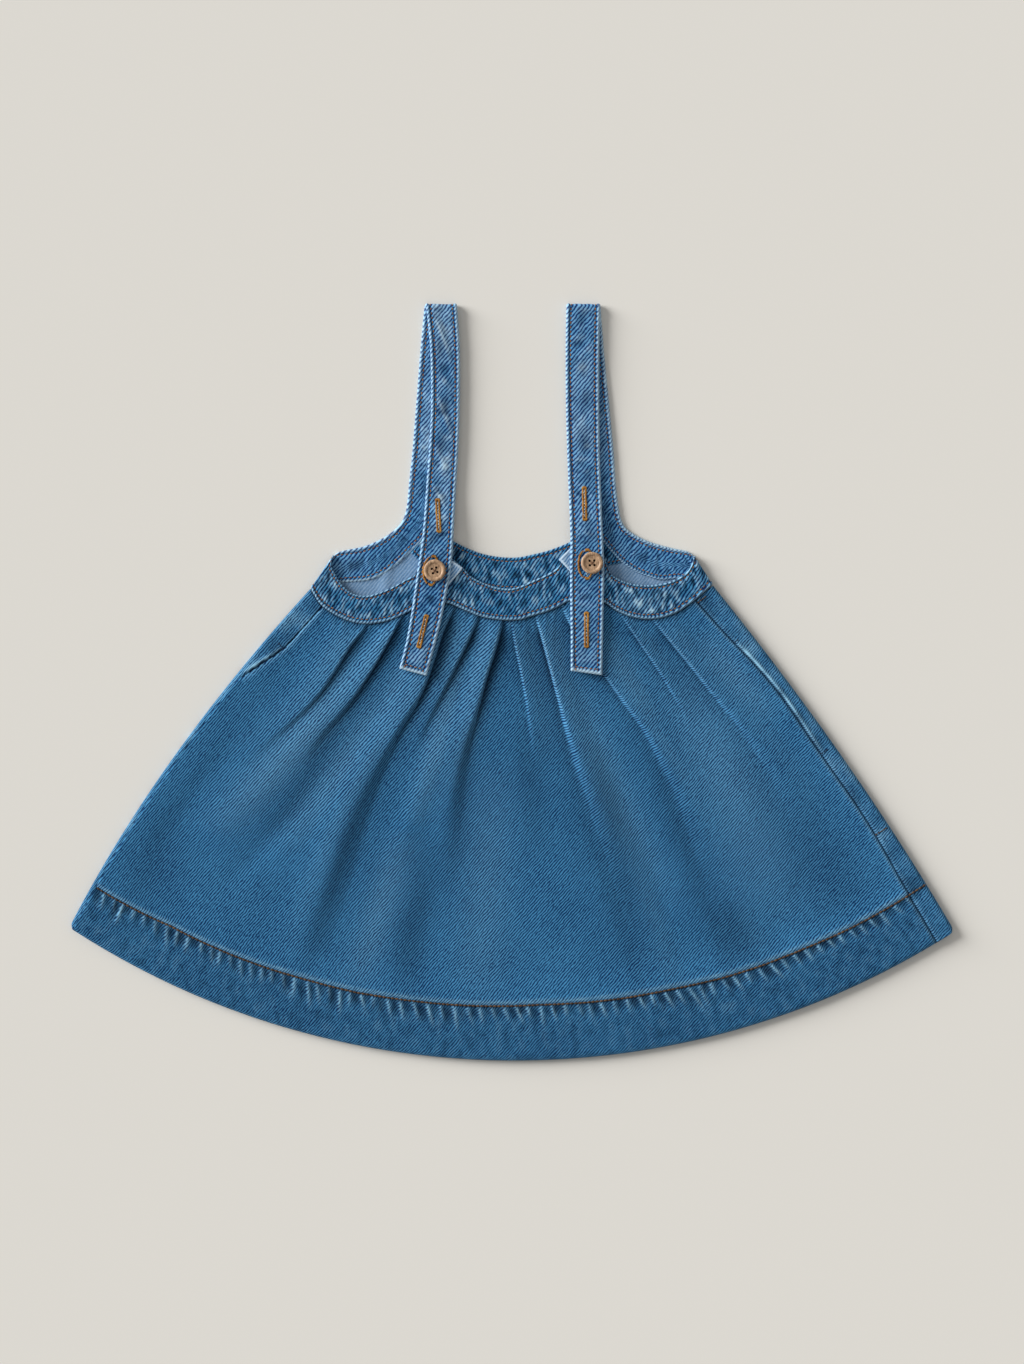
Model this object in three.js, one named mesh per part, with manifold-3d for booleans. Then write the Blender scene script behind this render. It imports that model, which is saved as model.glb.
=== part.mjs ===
// A child's denim pinafore dress, laid flat on a table with its front up.
// Millimetres. X runs across the garment, Y from hem to straps, Z up from the table.
// The origin is on the table, under the middle of the garment's box.
import * as THREE from "three";
import { mergeVertices } from "three/addons/utils/BufferGeometryUtils.js";
import Module from "manifold-3d";

// Cloth thicknesses and the clearances between pieces
const CLOTH = 1.1;
const DOUBLE_CLOTH = 2.0;
const SEAM_GAP = 0.35;
const WAIST_SEAM_DROP = 0.7;
const LAY_GAP = 0.4;

// The skirt: plan of the hem, fullness of the sides and heights over the table
const HEM_RADIUS = 551.5;
const HEM_CENTRE_X = 2.0;
const HEM_CENTRE_Y = 294.5;
const HEM_LEFT_X = -300.6;
const HEM_RIGHT_X = 300.6;
const BOW_LEFT = 11.5;
const BOW_RIGHT = 6.5;
const SIDE_HEIGHT = 4.8;
const PANEL_HEIGHT = 3.4;
const WAIST_HEIGHT = 4.2;
const HEM_HEIGHT = 4.8;
const HEM_FOLD = 0.875;
const SIDE_EASE = 34;
const POCKET_LIP = 0.8;
const POCKET_LIP_WIDTH = 5;

// The bands and straps
const BAND_HEIGHT = 5.2;
const EDGE_ROLL = 0.45;
const STRAP_CLEARANCE = 0.4;

// The buttons
const BUTTON_RADIUS = 7.5;
const BUTTON_THICKNESS = 3.0;
const BUTTON_DISH_RADIUS = 4.7;
const BUTTON_DISH_DEPTH = 0.8;
const BUTTON_HOLE_RADIUS = 0.85;
const BUTTON_HOLE_PITCH = 3.1;

// Front band, a row for each line across it from its skirt edge (low) to its free edge (top).
// Both tabs rise under the straps, where the buttons are sewn.
const FRONT_BAND = [
  { lowX: -137.1, lowY: 63.9, topX: -120.6, topY: 86.6 },
  { lowX: -133.9, lowY: 58.2, topX: -122.7, topY: 80.1 },
  { lowX: -129.9, lowY: 52.4, topX: -120.3, topY: 74.0 },
  { lowX: -122.2, lowY: 46.7, topX: -115.5, topY: 66.3 },
  { lowX: -112.7, lowY: 42.0, topX: -108.0, topY: 60.2 },
  { lowX: -104.0, lowY: 39.6, topX: -99.3, topY: 58.6 },
  { lowX: -95.5, lowY: 39.3, topX: -91.0, topY: 60.4 },
  { lowX: -85.0, lowY: 41.0, topX: -80.0, topY: 65.0 },
  { lowX: -77.4, lowY: 43.9, topX: -72.0, topY: 69.6 },
  { lowX: -68.8, lowY: 48.1, topX: -66.0, topY: 73.0 },
  { lowX: -61.0, lowY: 50.9, topX: -61.0, topY: 82.0 },
  { lowX: -51.5, lowY: 53.2, topX: -51.0, topY: 88.5 },
  { lowX: -43.0, lowY: 53.0, topX: -40.5, topY: 83.5 },
  { lowX: -35.0, lowY: 49.9, topX: -33.0, topY: 77.2 },
  { lowX: -28.5, lowY: 47.0, topX: -28.0, topY: 71.9 },
  { lowX: -20.0, lowY: 43.9, topX: -20.1, topY: 67.7 },
  { lowX: -10.6, lowY: 42.2, topX: -10.6, topY: 64.4 },
  { lowX: -3.0, lowY: 41.6, topX: -1.0, topY: 63.4 },
  { lowX: 5.4, lowY: 42.0, topX: 6.0, topY: 65.2 },
  { lowX: 12.6, lowY: 44.2, topX: 12.6, topY: 68.1 },
  { lowX: 23.1, lowY: 47.3, topX: 23.1, topY: 72.8 },
  { lowX: 31.0, lowY: 50.7, topX: 31.4, topY: 78.1 },
  { lowX: 38.7, lowY: 54.6, topX: 38.6, topY: 88.5 },
  { lowX: 51.0, lowY: 56.6, topX: 51.0, topY: 93.0 },
  { lowX: 62.0, lowY: 53.8, topX: 62.0, topY: 84.0 },
  { lowX: 66.0, lowY: 51.6, topX: 66.5, topY: 74.6 },
  { lowX: 70.9, lowY: 48.3, topX: 71.5, topY: 70.5 },
  { lowX: 80.2, lowY: 44.2, topX: 80.2, topY: 67.1 },
  { lowX: 90.7, lowY: 42.4, topX: 90.7, topY: 65.8 },
  { lowX: 101.1, lowY: 43.2, topX: 100.0, topY: 66.5 },
  { lowX: 111.5, lowY: 46.8, topX: 109.0, topY: 68.8 },
  { lowX: 121.9, lowY: 53.6, topX: 117.5, topY: 73.6 },
  { lowX: 128.9, lowY: 59.4, topX: 121.6, topY: 79.2 },
  { lowX: 136.6, lowY: 66.1, topX: 123.5, topY: 86.0 },
];

// Back band between the straps, a row for each line across it. Its two ends follow the straps.
const BACK_BAND = [
  { lowX: -60.0, lowY: 79.6, topX: -46.5, topY: 99.4 },
  { lowX: -46.0, lowY: 73.5, topX: -39.2, topY: 95.4 },
  { lowX: -34.0, lowY: 69.0, topX: -29.6, topY: 90.6 },
  { lowX: -23.0, lowY: 65.3, topX: -20.1, topY: 87.2 },
  { lowX: -12.0, lowY: 63.0, topX: -10.6, topY: 85.3 },
  { lowX: -2.0, lowY: 62.0, topX: -2.0, topY: 84.6 },
  { lowX: 7.0, lowY: 62.4, topX: 5.4, topY: 84.9 },
  { lowX: 15.0, lowY: 63.6, topX: 12.6, topY: 86.4 },
  { lowX: 27.0, lowY: 67.0, topX: 23.1, topY: 88.9 },
  { lowX: 39.0, lowY: 71.0, topX: 33.5, topY: 92.6 },
  { lowX: 49.0, lowY: 74.6, topX: 41.0, topY: 96.0 },
  { lowX: 62.0, lowY: 78.2, topX: 48.5, topY: 99.8 },
];

// Straps, a row for each line across. The back leg starts at the side corner of the band,
// follows the armhole and runs up to the shoulder fold. The front leg comes down again to its
// free end. rise is the height of the front leg's underside.
const STRAPS = {
  left: {
    back: [
      { outerX: -115.5, outerY: 89.0, innerX: -131.5, innerY: 66.4 },
      { outerX: -110.0, outerY: 90.2, innerX: -115.0, innerY: 67.5 },
      { outerX: -101.3, outerY: 92.0, innerX: -98.9, innerY: 68.7 },
      { outerX: -94.5, outerY: 94.5, innerX: -87.0, innerY: 73.2 },
      { outerX: -88.8, outerY: 97.2, innerX: -77.5, innerY: 80.2 },
      { outerX: -83.0, outerY: 100.9, innerX: -69.0, innerY: 88.0 },
      { outerX: -78.3, outerY: 104.9, innerX: -61.9, innerY: 95.2 },
      { outerX: -74.5, outerY: 109.7, innerX: -55.5, innerY: 103.5 },
      { outerX: -71.7, outerY: 118.3, innerX: -50.6, innerY: 113.8 },
      { outerX: -69.8, outerY: 137.4, innerX: -48.2, innerY: 135.6 },
      { outerX: -67.7, outerY: 157.1, innerX: -46.0, innerY: 155.8 },
      { outerX: -65.3, outerY: 187.0, innerX: -43.4, innerY: 185.8 },
      { outerX: -62.2, outerY: 226.6, innerX: -40.2, innerY: 226.0 },
      { outerX: -59.6, outerY: 254.6, innerX: -37.4, innerY: 254.6 },
    ],
    front: [
      { outerX: -58.4, outerY: 254.6, innerX: -37.2, innerY: 254.6, rise: 2.4 },
      { outerX: -55.6, outerY: 226.0, innerX: -35.4, innerY: 226.0, rise: 2.4 },
      { outerX: -55.0, outerY: 187.0, innerX: -35.4, innerY: 187.0, rise: 2.4 },
      { outerX: -56.4, outerY: 157.0, innerX: -36.4, innerY: 157.0, rise: 2.4 },
      { outerX: -58.0, outerY: 137.0, innerX: -37.6, innerY: 137.0, rise: 2.4 },
      { outerX: -59.0, outerY: 122.0, innerX: -38.4, innerY: 122.0, rise: 3.0 },
      { outerX: -60.0, outerY: 108.0, innerX: -39.2, innerY: 107.5, rise: 4.6 },
      { outerX: -61.2, outerY: 96.0, innerX: -39.8, innerY: 95.0, rise: 5.6 },
      { outerX: -62.8, outerY: 85.0, innerX: -40.6, innerY: 83.5, rise: 5.6 },
      { outerX: -64.4, outerY: 74.0, innerX: -42.0, innerY: 72.0, rise: 5.6 },
      { outerX: -66.3, outerY: 61.0, innerX: -44.6, innerY: 58.0, rise: 5.6 },
      { outerX: -68.6, outerY: 45.0, innerX: -48.0, innerY: 41.0, rise: 5.6 },
      { outerX: -71.8, outerY: 27.5, innerX: -52.6, innerY: 23.0, rise: 5.6 },
      { outerX: -76.4, outerY: 9.2, innerX: -57.8, innerY: 4.2, rise: 5.9 },
    ],
  },
  right: {
    back: [
      { outerX: 118.0, outerY: 89.2, innerX: 131.8, innerY: 68.0 },
      { outerX: 110.5, outerY: 90.7, innerX: 114.5, innerY: 70.0 },
      { outerX: 102.0, outerY: 92.8, innerX: 101.0, innerY: 69.1 },
      { outerX: 95.5, outerY: 94.7, innerX: 89.5, innerY: 72.3 },
      { outerX: 90.0, outerY: 96.9, innerX: 79.5, innerY: 77.4 },
      { outerX: 83.5, outerY: 100.2, innerX: 70.5, innerY: 84.8 },
      { outerX: 77.5, outerY: 104.7, innerX: 63.2, innerY: 93.3 },
      { outerX: 74.6, outerY: 109.7, innerX: 56.8, innerY: 102.0 },
      { outerX: 73.1, outerY: 115.5, innerX: 52.2, innerY: 111.4 },
      { outerX: 70.9, outerY: 131.2, innerX: 49.0, innerY: 129.0 },
      { outerX: 69.0, outerY: 157.1, innerX: 47.2, innerY: 156.0 },
      { outerX: 66.2, outerY: 187.0, innerX: 44.4, innerY: 186.0 },
      { outerX: 62.6, outerY: 224.0, innerX: 40.8, innerY: 223.4 },
      { outerX: 60.2, outerY: 254.6, innerX: 37.4, innerY: 254.6 },
    ],
    front: [
      { outerX: 59.9, outerY: 254.6, innerX: 36.9, innerY: 254.6, rise: 2.4 },
      { outerX: 59.4, outerY: 226.0, innerX: 36.4, innerY: 226.0, rise: 2.4 },
      { outerX: 59.3, outerY: 187.0, innerX: 36.6, innerY: 187.0, rise: 2.4 },
      { outerX: 59.7, outerY: 154.0, innerX: 37.5, innerY: 154.0, rise: 2.4 },
      { outerX: 60.3, outerY: 136.0, innerX: 38.2, innerY: 136.0, rise: 2.4 },
      { outerX: 60.8, outerY: 122.0, innerX: 38.8, innerY: 122.0, rise: 3.2 },
      { outerX: 61.2, outerY: 110.0, innerX: 39.2, innerY: 110.0, rise: 4.8 },
      { outerX: 61.7, outerY: 99.0, innerX: 39.5, innerY: 99.0, rise: 5.6 },
      { outerX: 62.2, outerY: 88.0, innerX: 39.6, innerY: 88.0, rise: 5.6 },
      { outerX: 62.6, outerY: 77.0, innerX: 39.4, innerY: 77.0, rise: 5.6 },
      { outerX: 62.4, outerY: 62.0, innerX: 39.4, innerY: 62.0, rise: 5.6 },
      { outerX: 62.0, outerY: 45.0, innerX: 39.6, innerY: 45.0, rise: 5.6 },
      { outerX: 61.7, outerY: 28.0, innerX: 39.8, innerY: 28.5, rise: 5.6 },
      { outerX: 61.2, outerY: 4.6, innerX: 39.8, innerY: 7.6, rise: 5.9 },
    ],
  },
};

// The buttons' centres and how far each is turned
const BUTTONS = {
  left: { x: -52.4, y: 75.5, turn: 15 },
  right: { x: 54.2, y: 80.6, turn: 3 },
};

// Places down the skirt (0 at the waist seam, 1 at the hem) at which the tables of folds and
// side seams give a place across it (0 at the left edge, 1 at the right edge)
const DOWN = [0, 0.06, 0.12, 0.2, 0.3, 0.45, 0.65, 0.86, 1];

// Side seams: the left one lies on the side fold below the pocket
const SIDE_SEAMS = {
  left: [0.03, 0.029, 0.027, 0.014, 0, 0, 0, 0, 0],
  right: [0.956, 0.961, 0.966, 0.974, 0.979, 0.978, 0.98, 0.977, 0.977],
};

// Pocket mouths: how far down the skirt each opens and closes
const POCKETS = {
  left: { from: 0.13, to: 0.37 },
  right: { from: 0.13, to: 0.46 },
};

// Pleats, a row for each: where its edge runs, which side of the edge is raised (-1 left, 1 right),
// how high, how wide the raised cloth is, how deep the groove is, and how far down it reaches
const PLEATS = [
  {
    across: [0.142, 0.134, 0.134, 0.13, 0.109, 0.078, 0.055, 0.042, 0.04],
    raised: -1,
    height: 2.4,
    width: 30,
    groove: 0.5,
    reach: 0.42,
  },
  {
    across: [0.228, 0.221, 0.213, 0.199, 0.175, 0.165, 0.151, 0.144, 0.14],
    raised: -1,
    height: 3.4,
    width: 22,
    groove: 1.0,
    reach: 0.37,
  },
  {
    across: [0.358, 0.345, 0.34, 0.331, 0.305, 0.284, 0.274, 0.266, 0.262],
    raised: -1,
    height: 3.0,
    width: 26,
    groove: 0.8,
    reach: 0.85,
  },
  {
    across: [0.419, 0.402, 0.386, 0.367, 0.348, 0.339, 0.339, 0.339, 0.339],
    raised: -1,
    height: 2.6,
    width: 14,
    groove: 0.7,
    reach: 0.34,
  },
  {
    across: [0.478, 0.465, 0.451, 0.438, 0.424, 0.416, 0.418, 0.42, 0.42],
    raised: -1,
    height: 3.2,
    width: 17,
    groove: 0.9,
    reach: 0.5,
  },
  {
    across: [0.5, 0.509, 0.52, 0.53, 0.537, 0.543, 0.546, 0.546, 0.546],
    raised: 1,
    height: 1.8,
    width: 15,
    groove: 0.4,
    reach: 0.34,
  },
  {
    across: [0.56, 0.571, 0.58, 0.59, 0.602, 0.623, 0.646, 0.66, 0.665],
    raised: 1,
    height: 2.6,
    width: 18,
    groove: 0.6,
    reach: 1.05,
  },
  {
    across: [0.624, 0.64, 0.662, 0.696, 0.733, 0.756, 0.76, 0.769, 0.774],
    raised: 1,
    height: 2.2,
    width: 30,
    groove: 0.5,
    reach: 1.0,
  },
  {
    across: [0.769, 0.789, 0.804, 0.815, 0.822, 0.826, 0.833, 0.836, 0.838],
    raised: 1,
    height: 1.8,
    width: 16,
    groove: 0.4,
    reach: 0.26,
  },
  {
    across: [0.851, 0.863, 0.874, 0.884, 0.898, 0.906, 0.903, 0.903, 0.904],
    raised: 1,
    height: 1.8,
    width: 20,
    groove: 0.5,
    reach: 0.62,
  },
];
const PLEAT_EDGE = 1.2;
const PLEAT_START = 0.35;
const PLEAT_FULL = 0.06;

// Soft folds lower down, a row for each: its two ends, its height (below 0 for a trough)
// and its half width
const SOFT_FOLDS = [
  { fromAcross: 0.178, fromDown: 0.1, toAcross: 0.088, toDown: 0.68, height: 1.5, width: 15 },
  { fromAcross: 0.215, fromDown: 0.36, toAcross: 0.134, toDown: 0.74, height: -0.9, width: 9 },
  { fromAcross: 0.395, fromDown: 0.2, toAcross: 0.34, toDown: 0.6, height: 1.3, width: 9 },
  { fromAcross: 0.845, fromDown: 0.25, toAcross: 0.83, toDown: 0.74, height: 1.2, width: 24 },
  { fromAcross: 0.385, fromDown: 0.66, toAcross: 0.378, toDown: 0.86, height: -0.7, width: 12 },
  { fromAcross: 0.06, fromDown: 0.3, toAcross: 0.03, toDown: 0.8, height: -0.6, width: 11 },
];

// Rows down the skirt, and how many lines divide the cloth between one pleat and the next
const ROWS = [
  0, 0.012, 0.03, 0.055, 0.085, 0.12, 0.16, 0.2, 0.245, 0.29, 0.34, 0.39, 0.445, 0.5, 0.56, 0.62,
  0.68, 0.74, 0.8, 0.845, 0.865, 0.885, 0.94, 1,
];
const LINES_BETWEEN = [4, 3, 4, 2, 2, 1, 2, 3, 3, 3, 3];
const SIDE_FOLD_STEPS = 5;

const smoothstep = THREE.MathUtils.smoothstep;
const lerp = THREE.MathUtils.lerp;

// The value at x of the straight-line graph through (xs[i], ys[i])
function graph(xs, ys, x) {
  if (x <= xs[0]) return ys[0];
  for (let i = 1; i < xs.length; i++) {
    if (x <= xs[i]) return lerp(ys[i - 1], ys[i], (x - xs[i - 1]) / (xs[i] - xs[i - 1]));
  }
  return ys[ys.length - 1];
}

// A smooth curve's value between the four numbers around it
function spline(before, from, to, after, u) {
  const leave = (to - before) / 2;
  const arrive = (after - from) / 2;
  const bend = 3 * (to - from) - 2 * leave - arrive;
  const turn = leave + arrive - 2 * (to - from);
  return from + u * (leave + u * (bend + u * turn));
}

// The rows of a table with smooth rows put between them
function refine(table, steps) {
  const at = (i) => table[Math.min(table.length - 1, Math.max(0, i))];
  const rows = [];
  for (let i = 0; i < table.length - 1; i++) {
    for (let k = 0; k < steps; k++) {
      const row = {};
      for (const key of Object.keys(table[i]))
        row[key] = spline(at(i - 1)[key], at(i)[key], at(i + 1)[key], at(i + 2)[key], k / steps);
      rows.push(row);
    }
  }
  rows.push({ ...table[table.length - 1] });
  return rows;
}

// A closed body between two grids of points with the same rows and lines
function wall(outer, inner) {
  const rows = outer.length;
  const lines = outer[0].length;
  const positions = [...outer.flat(), ...inner.flat()].flat();
  const o = (i, j) => i * lines + j;
  const n = (i, j) => rows * lines + i * lines + j;
  const faces = [];
  const quad = (a, b, c, d) => faces.push(a, b, c, a, c, d);
  for (let i = 0; i < rows - 1; i++) {
    for (let j = 0; j < lines - 1; j++) {
      quad(o(i, j), o(i + 1, j), o(i + 1, j + 1), o(i, j + 1));
      quad(n(i, j), n(i, j + 1), n(i + 1, j + 1), n(i + 1, j));
    }
    quad(o(i, 0), n(i, 0), n(i + 1, 0), o(i + 1, 0));
    quad(o(i, lines - 1), o(i + 1, lines - 1), n(i + 1, lines - 1), n(i, lines - 1));
  }
  for (let j = 0; j < lines - 1; j++) {
    quad(o(0, j), o(0, j + 1), n(0, j + 1), n(0, j));
    quad(o(rows - 1, j), n(rows - 1, j), n(rows - 1, j + 1), o(rows - 1, j + 1));
  }
  const geometry = new THREE.BufferGeometry();
  geometry.setAttribute("position", new THREE.Float32BufferAttribute(positions, 3));
  geometry.setIndex(signedVolume(positions, faces) < 0 ? faces.reverse() : faces);
  geometry.computeVertexNormals();
  return geometry;
}

function signedVolume(positions, faces) {
  const corner = (k) => new THREE.Vector3().fromArray(positions, 3 * k);
  let volume = 0;
  for (let k = 0; k < faces.length; k += 3) {
    const normal = corner(faces[k + 1]).cross(corner(faces[k + 2]));
    volume += corner(faces[k]).dot(normal) / 6;
  }
  return volume;
}

// Plan of the skirt: the point at (across, down), both from 0 to 1

const waistXs = FRONT_BAND.map((row) => row.lowX);
const waistYs = FRONT_BAND.map((row) => row.lowY);
const hemFrom = Math.asin((HEM_LEFT_X - HEM_CENTRE_X) / HEM_RADIUS);
const hemTo = Math.asin((HEM_RIGHT_X - HEM_CENTRE_X) / HEM_RADIUS);

function waistPoint(across) {
  const x = lerp(waistXs[0], waistXs[waistXs.length - 1], across);
  return { x, y: graph(waistXs, waistYs, x) - WAIST_SEAM_DROP };
}

function hemPoint(across) {
  const angle = lerp(hemFrom, hemTo, across);
  return {
    x: HEM_CENTRE_X + HEM_RADIUS * Math.sin(angle),
    y: HEM_CENTRE_Y - HEM_RADIUS * Math.cos(angle),
  };
}

function skirtPoint(across, down) {
  const waist = waistPoint(across);
  const hem = hemPoint(across);
  const side = 2 * across - 1;
  const bow = side * (side < 0 ? BOW_LEFT : BOW_RIGHT) * 4 * down * (1 - down);
  return { x: lerp(waist.x, hem.x, down) + bow, y: lerp(waist.y, hem.y, down) };
}

// Millimetres for each unit across, near a place on the skirt
function widthAt(across, down) {
  const step = 0.004;
  const from = Math.min(across, 1 - step);
  const a = skirtPoint(from, down);
  const b = skirtPoint(from + step, down);
  return Math.hypot(b.x - a.x, b.y - a.y) / step;
}

// The place on the skirt that lies at a point of the plan
function skirtPlace(x, y) {
  let across = 0.5;
  let down = 0.1;
  for (let k = 0; k < 30; k++) {
    const waistY = waistPoint(across).y;
    down = (waistY - y) / (waistY - hemPoint(across).y);
    const here = skirtPoint(across, down).x;
    const next = skirtPoint(across + 0.001, down).x;
    across += ((x - here) * 0.001) / (next - here);
  }
  return { across, down };
}

// Heights of the front of the skirt

function sideSeam(side, down) {
  const foldTop = (SIDE_HEIGHT / 2 + 0.6) / widthAt(side === "left" ? 0 : 1, down);
  const seam = graph(DOWN, SIDE_SEAMS[side], down);
  return side === "left" ? Math.max(seam, foldTop) : Math.min(seam, 1 - foldTop);
}

function pleatHeight(pleat, across, down) {
  const edge = graph(DOWN, pleat.across, down);
  const distance = (across - edge) * widthAt(edge, down) * pleat.raised;
  const start = lerp(PLEAT_START, 1, smoothstep(down, 0, PLEAT_FULL));
  const fade = Math.max(0, 1 - down / pleat.reach);
  const strength = start * fade ** 0.8;
  let share;
  if (distance > PLEAT_EDGE) {
    const reached = Math.min(1, (distance - PLEAT_EDGE) / pleat.width);
    share = pleat.height * 0.5 * (1 + Math.cos(Math.PI * reached));
  } else if (distance > -PLEAT_EDGE) {
    share = lerp(-pleat.groove, pleat.height, (distance + PLEAT_EDGE) / (2 * PLEAT_EDGE));
  } else {
    share = -pleat.groove * Math.exp((distance + PLEAT_EDGE) / 9);
  }
  return share * strength;
}

function softFoldHeight(fold, across, down) {
  const u = (down - fold.fromDown) / (fold.toDown - fold.fromDown);
  if (u <= 0 || u >= 1) return 0;
  const middle = lerp(fold.fromAcross, fold.toAcross, u);
  const distance = ((across - middle) * widthAt(middle, down)) / fold.width;
  return fold.height * Math.sin(Math.PI * u) * Math.exp(-distance * distance);
}

function pocketLip(side, across, down) {
  const pocket = POCKETS[side];
  const u = (down - pocket.from) / (pocket.to - pocket.from);
  if (u <= 0 || u >= 1) return 0;
  const distance = Math.abs(across - sideSeam(side, down)) * widthAt(across, down);
  return POCKET_LIP * Math.sqrt(Math.sin(Math.PI * u)) * Math.exp(-distance / POCKET_LIP_WIDTH);
}

function reliefAt(across, down) {
  let height = pocketLip("left", across, down) + pocketLip("right", across, down);
  for (const pleat of PLEATS) height += pleatHeight(pleat, across, down);
  for (const fold of SOFT_FOLDS) height += softFoldHeight(fold, across, down);
  const toSide = Math.min(across, 1 - across) * widthAt(across, down);
  const calm = smoothstep(toSide, 4, 26) * (1 - smoothstep(down, 0.8, 1.0) * 0.85);
  return height * Math.max(calm, 0.15);
}

function clothThickness(down) {
  return lerp(CLOTH, DOUBLE_CLOTH, smoothstep(down, HEM_FOLD - 0.02, HEM_FOLD));
}

function frontHeight(across, down) {
  const middle =
    PANEL_HEIGHT +
    (WAIST_HEIGHT - PANEL_HEIGHT) * (1 - smoothstep(down, 0, 0.08)) +
    (HEM_HEIGHT - PANEL_HEIGHT) * smoothstep(down, 0.8, HEM_FOLD);
  const toSide = Math.min(across, 1 - across) * widthAt(across, down);
  const base = lerp(SIDE_HEIGHT, middle, smoothstep(toSide, 2, SIDE_EASE));
  const lowest = 2 * clothThickness(down) + LAY_GAP;
  return Math.max(lowest, base + reliefAt(across, down));
}

// The underside of the front follows it, further down where the pleats' layers are stacked
function frontUnderside(across, down) {
  const step = 0.004;
  const rise = frontHeight(across + step, down) - frontHeight(across - step, down);
  const slope = rise / (2 * step * widthAt(across, down));
  const height = frontHeight(across, down);
  const stacked = 0.35 * Math.max(0, height - PANEL_HEIGHT) * (1 - smoothstep(down, 0.3, 0.7));
  const thickness = clothThickness(down) * Math.min(1.5, Math.hypot(1, slope)) + stacked;
  return Math.max(clothThickness(down) + LAY_GAP, height - thickness);
}

// Places across the front at one row: both seams, and a line on each side of every pleat's edge
function frontLines(down) {
  const gapLeft = SEAM_GAP / widthAt(0, down);
  const gapRight = SEAM_GAP / widthAt(1, down);
  const ends = [[sideSeam("left", down) + gapLeft]];
  for (const pleat of PLEATS) {
    const edge = graph(DOWN, pleat.across, down);
    const half = PLEAT_EDGE / widthAt(edge, down);
    ends.push([edge - half, edge + half]);
  }
  ends.push([sideSeam("right", down) - gapRight]);
  const lines = [];
  for (let k = 0; k < ends.length; k++) {
    lines.push(...ends[k]);
    if (k === ends.length - 1) break;
    const from = ends[k][ends[k].length - 1];
    const to = ends[k + 1][0];
    for (let n = 1; n <= LINES_BETWEEN[k]; n++)
      lines.push(lerp(from, to, n / (LINES_BETWEEN[k] + 1)));
  }
  return lines;
}

function frontSkirt() {
  const outer = [];
  const inner = [];
  for (const down of ROWS) {
    const places = frontLines(down);
    const plan = places.map((across) => skirtPoint(across, down));
    outer.push(plan.map((p, j) => [p.x, p.y, frontHeight(places[j], down)]));
    inner.push(plan.map((p, j) => [p.x, p.y, frontUnderside(places[j], down)]));
  }
  return wall(outer, inner);
}

// The half round of a side fold in section, from its top to its underside:
// in is the distance from the silhouette, z the height
function foldSection(height, thickness, steps) {
  const outerRadius = height / 2;
  const innerRadius = outerRadius - thickness;
  const section = [];
  for (let k = 0; k <= steps; k++) {
    const angle = Math.PI / 2 - (Math.PI * k) / steps;
    const c = Math.cos(angle);
    const s = Math.sin(angle);
    section.push({
      outerIn: outerRadius - outerRadius * c,
      outerZ: outerRadius + outerRadius * s,
      innerIn: outerRadius - innerRadius * c,
      innerZ: outerRadius + innerRadius * s,
    });
  }
  return section;
}

// Straps

const STRAP_STEPS = 2;
const strapBacks = {
  left: refine(STRAPS.left.back, STRAP_STEPS),
  right: refine(STRAPS.right.back, STRAP_STEPS),
};
const strapFronts = {
  left: refine(STRAPS.left.front, STRAP_STEPS),
  right: refine(STRAPS.right.front, STRAP_STEPS),
};
const BAND_JOINS_LEFT = [10, 11, 12, 14];
const BAND_JOINS_RIGHT = [9, 10, 12, 14];
const STRAP_ACROSS = [0, 0.12, 0.5, 0.88, 1];

const rollAt = (v) => (v === 0 || v === 1 ? EDGE_ROLL : 0);

// The height of a front leg's underside, which clears the skirt wherever it lies on it
function strapFrontRise(row) {
  let rise = row.rise;
  if (row.outerY > Math.max(...waistYs)) return rise;
  for (const v of [0, 0.25, 0.5, 0.75, 1]) {
    const x = lerp(row.outerX, row.innerX, v);
    const y = lerp(row.outerY, row.innerY, v);
    const place = skirtPlace(x, y);
    if (place.down > 0)
      rise = Math.max(rise, frontHeight(place.across, place.down) + STRAP_CLEARANCE);
  }
  return rise;
}

function strap(side) {
  const outer = [];
  const inner = [];
  const addRow = (row, outerZ, innerZ) => {
    const at = (v, z) => [
      lerp(row.outerX, row.innerX, v),
      lerp(row.outerY, row.innerY, v),
      z(v),
    ];
    outer.push(STRAP_ACROSS.map((v) => at(v, outerZ)));
    inner.push(STRAP_ACROSS.map((v) => at(v, innerZ)));
  };
  const backRows = strapBacks[side];
  const frontRows = strapFronts[side];
  for (const row of backRows) addRow(row, () => 0, (v) => DOUBLE_CLOTH - rollAt(v));
  const height = frontRows[0].rise + DOUBLE_CLOTH;
  const fold = foldSection(height, DOUBLE_CLOTH, 6).reverse();
  const last = backRows[backRows.length - 1];
  for (let k = 1; k < fold.length - 1; k++) {
    const u = k / (fold.length - 1);
    const at = (v, reach, z) => [
      lerp(lerp(last.outerX, frontRows[0].outerX, u), lerp(last.innerX, frontRows[0].innerX, u), v),
      last.outerY + reach,
      z,
    ];
    const section = fold[k];
    const outReach = height / 2 - section.outerIn;
    const inReach = height / 2 - section.innerIn;
    outer.push(STRAP_ACROSS.map((v) => at(v, outReach, section.outerZ)));
    inner.push(STRAP_ACROSS.map((v) => at(v, inReach, section.innerZ)));
  }
  for (const row of frontRows) {
    const rise = strapFrontRise(row);
    addRow(row, (v) => rise + DOUBLE_CLOTH - rollAt(v), () => rise);
  }
  return wall(outer, inner);
}

// Bands

const BAND_DOWN = [0, 0.1, 0.5, 0.9, 1];

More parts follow.
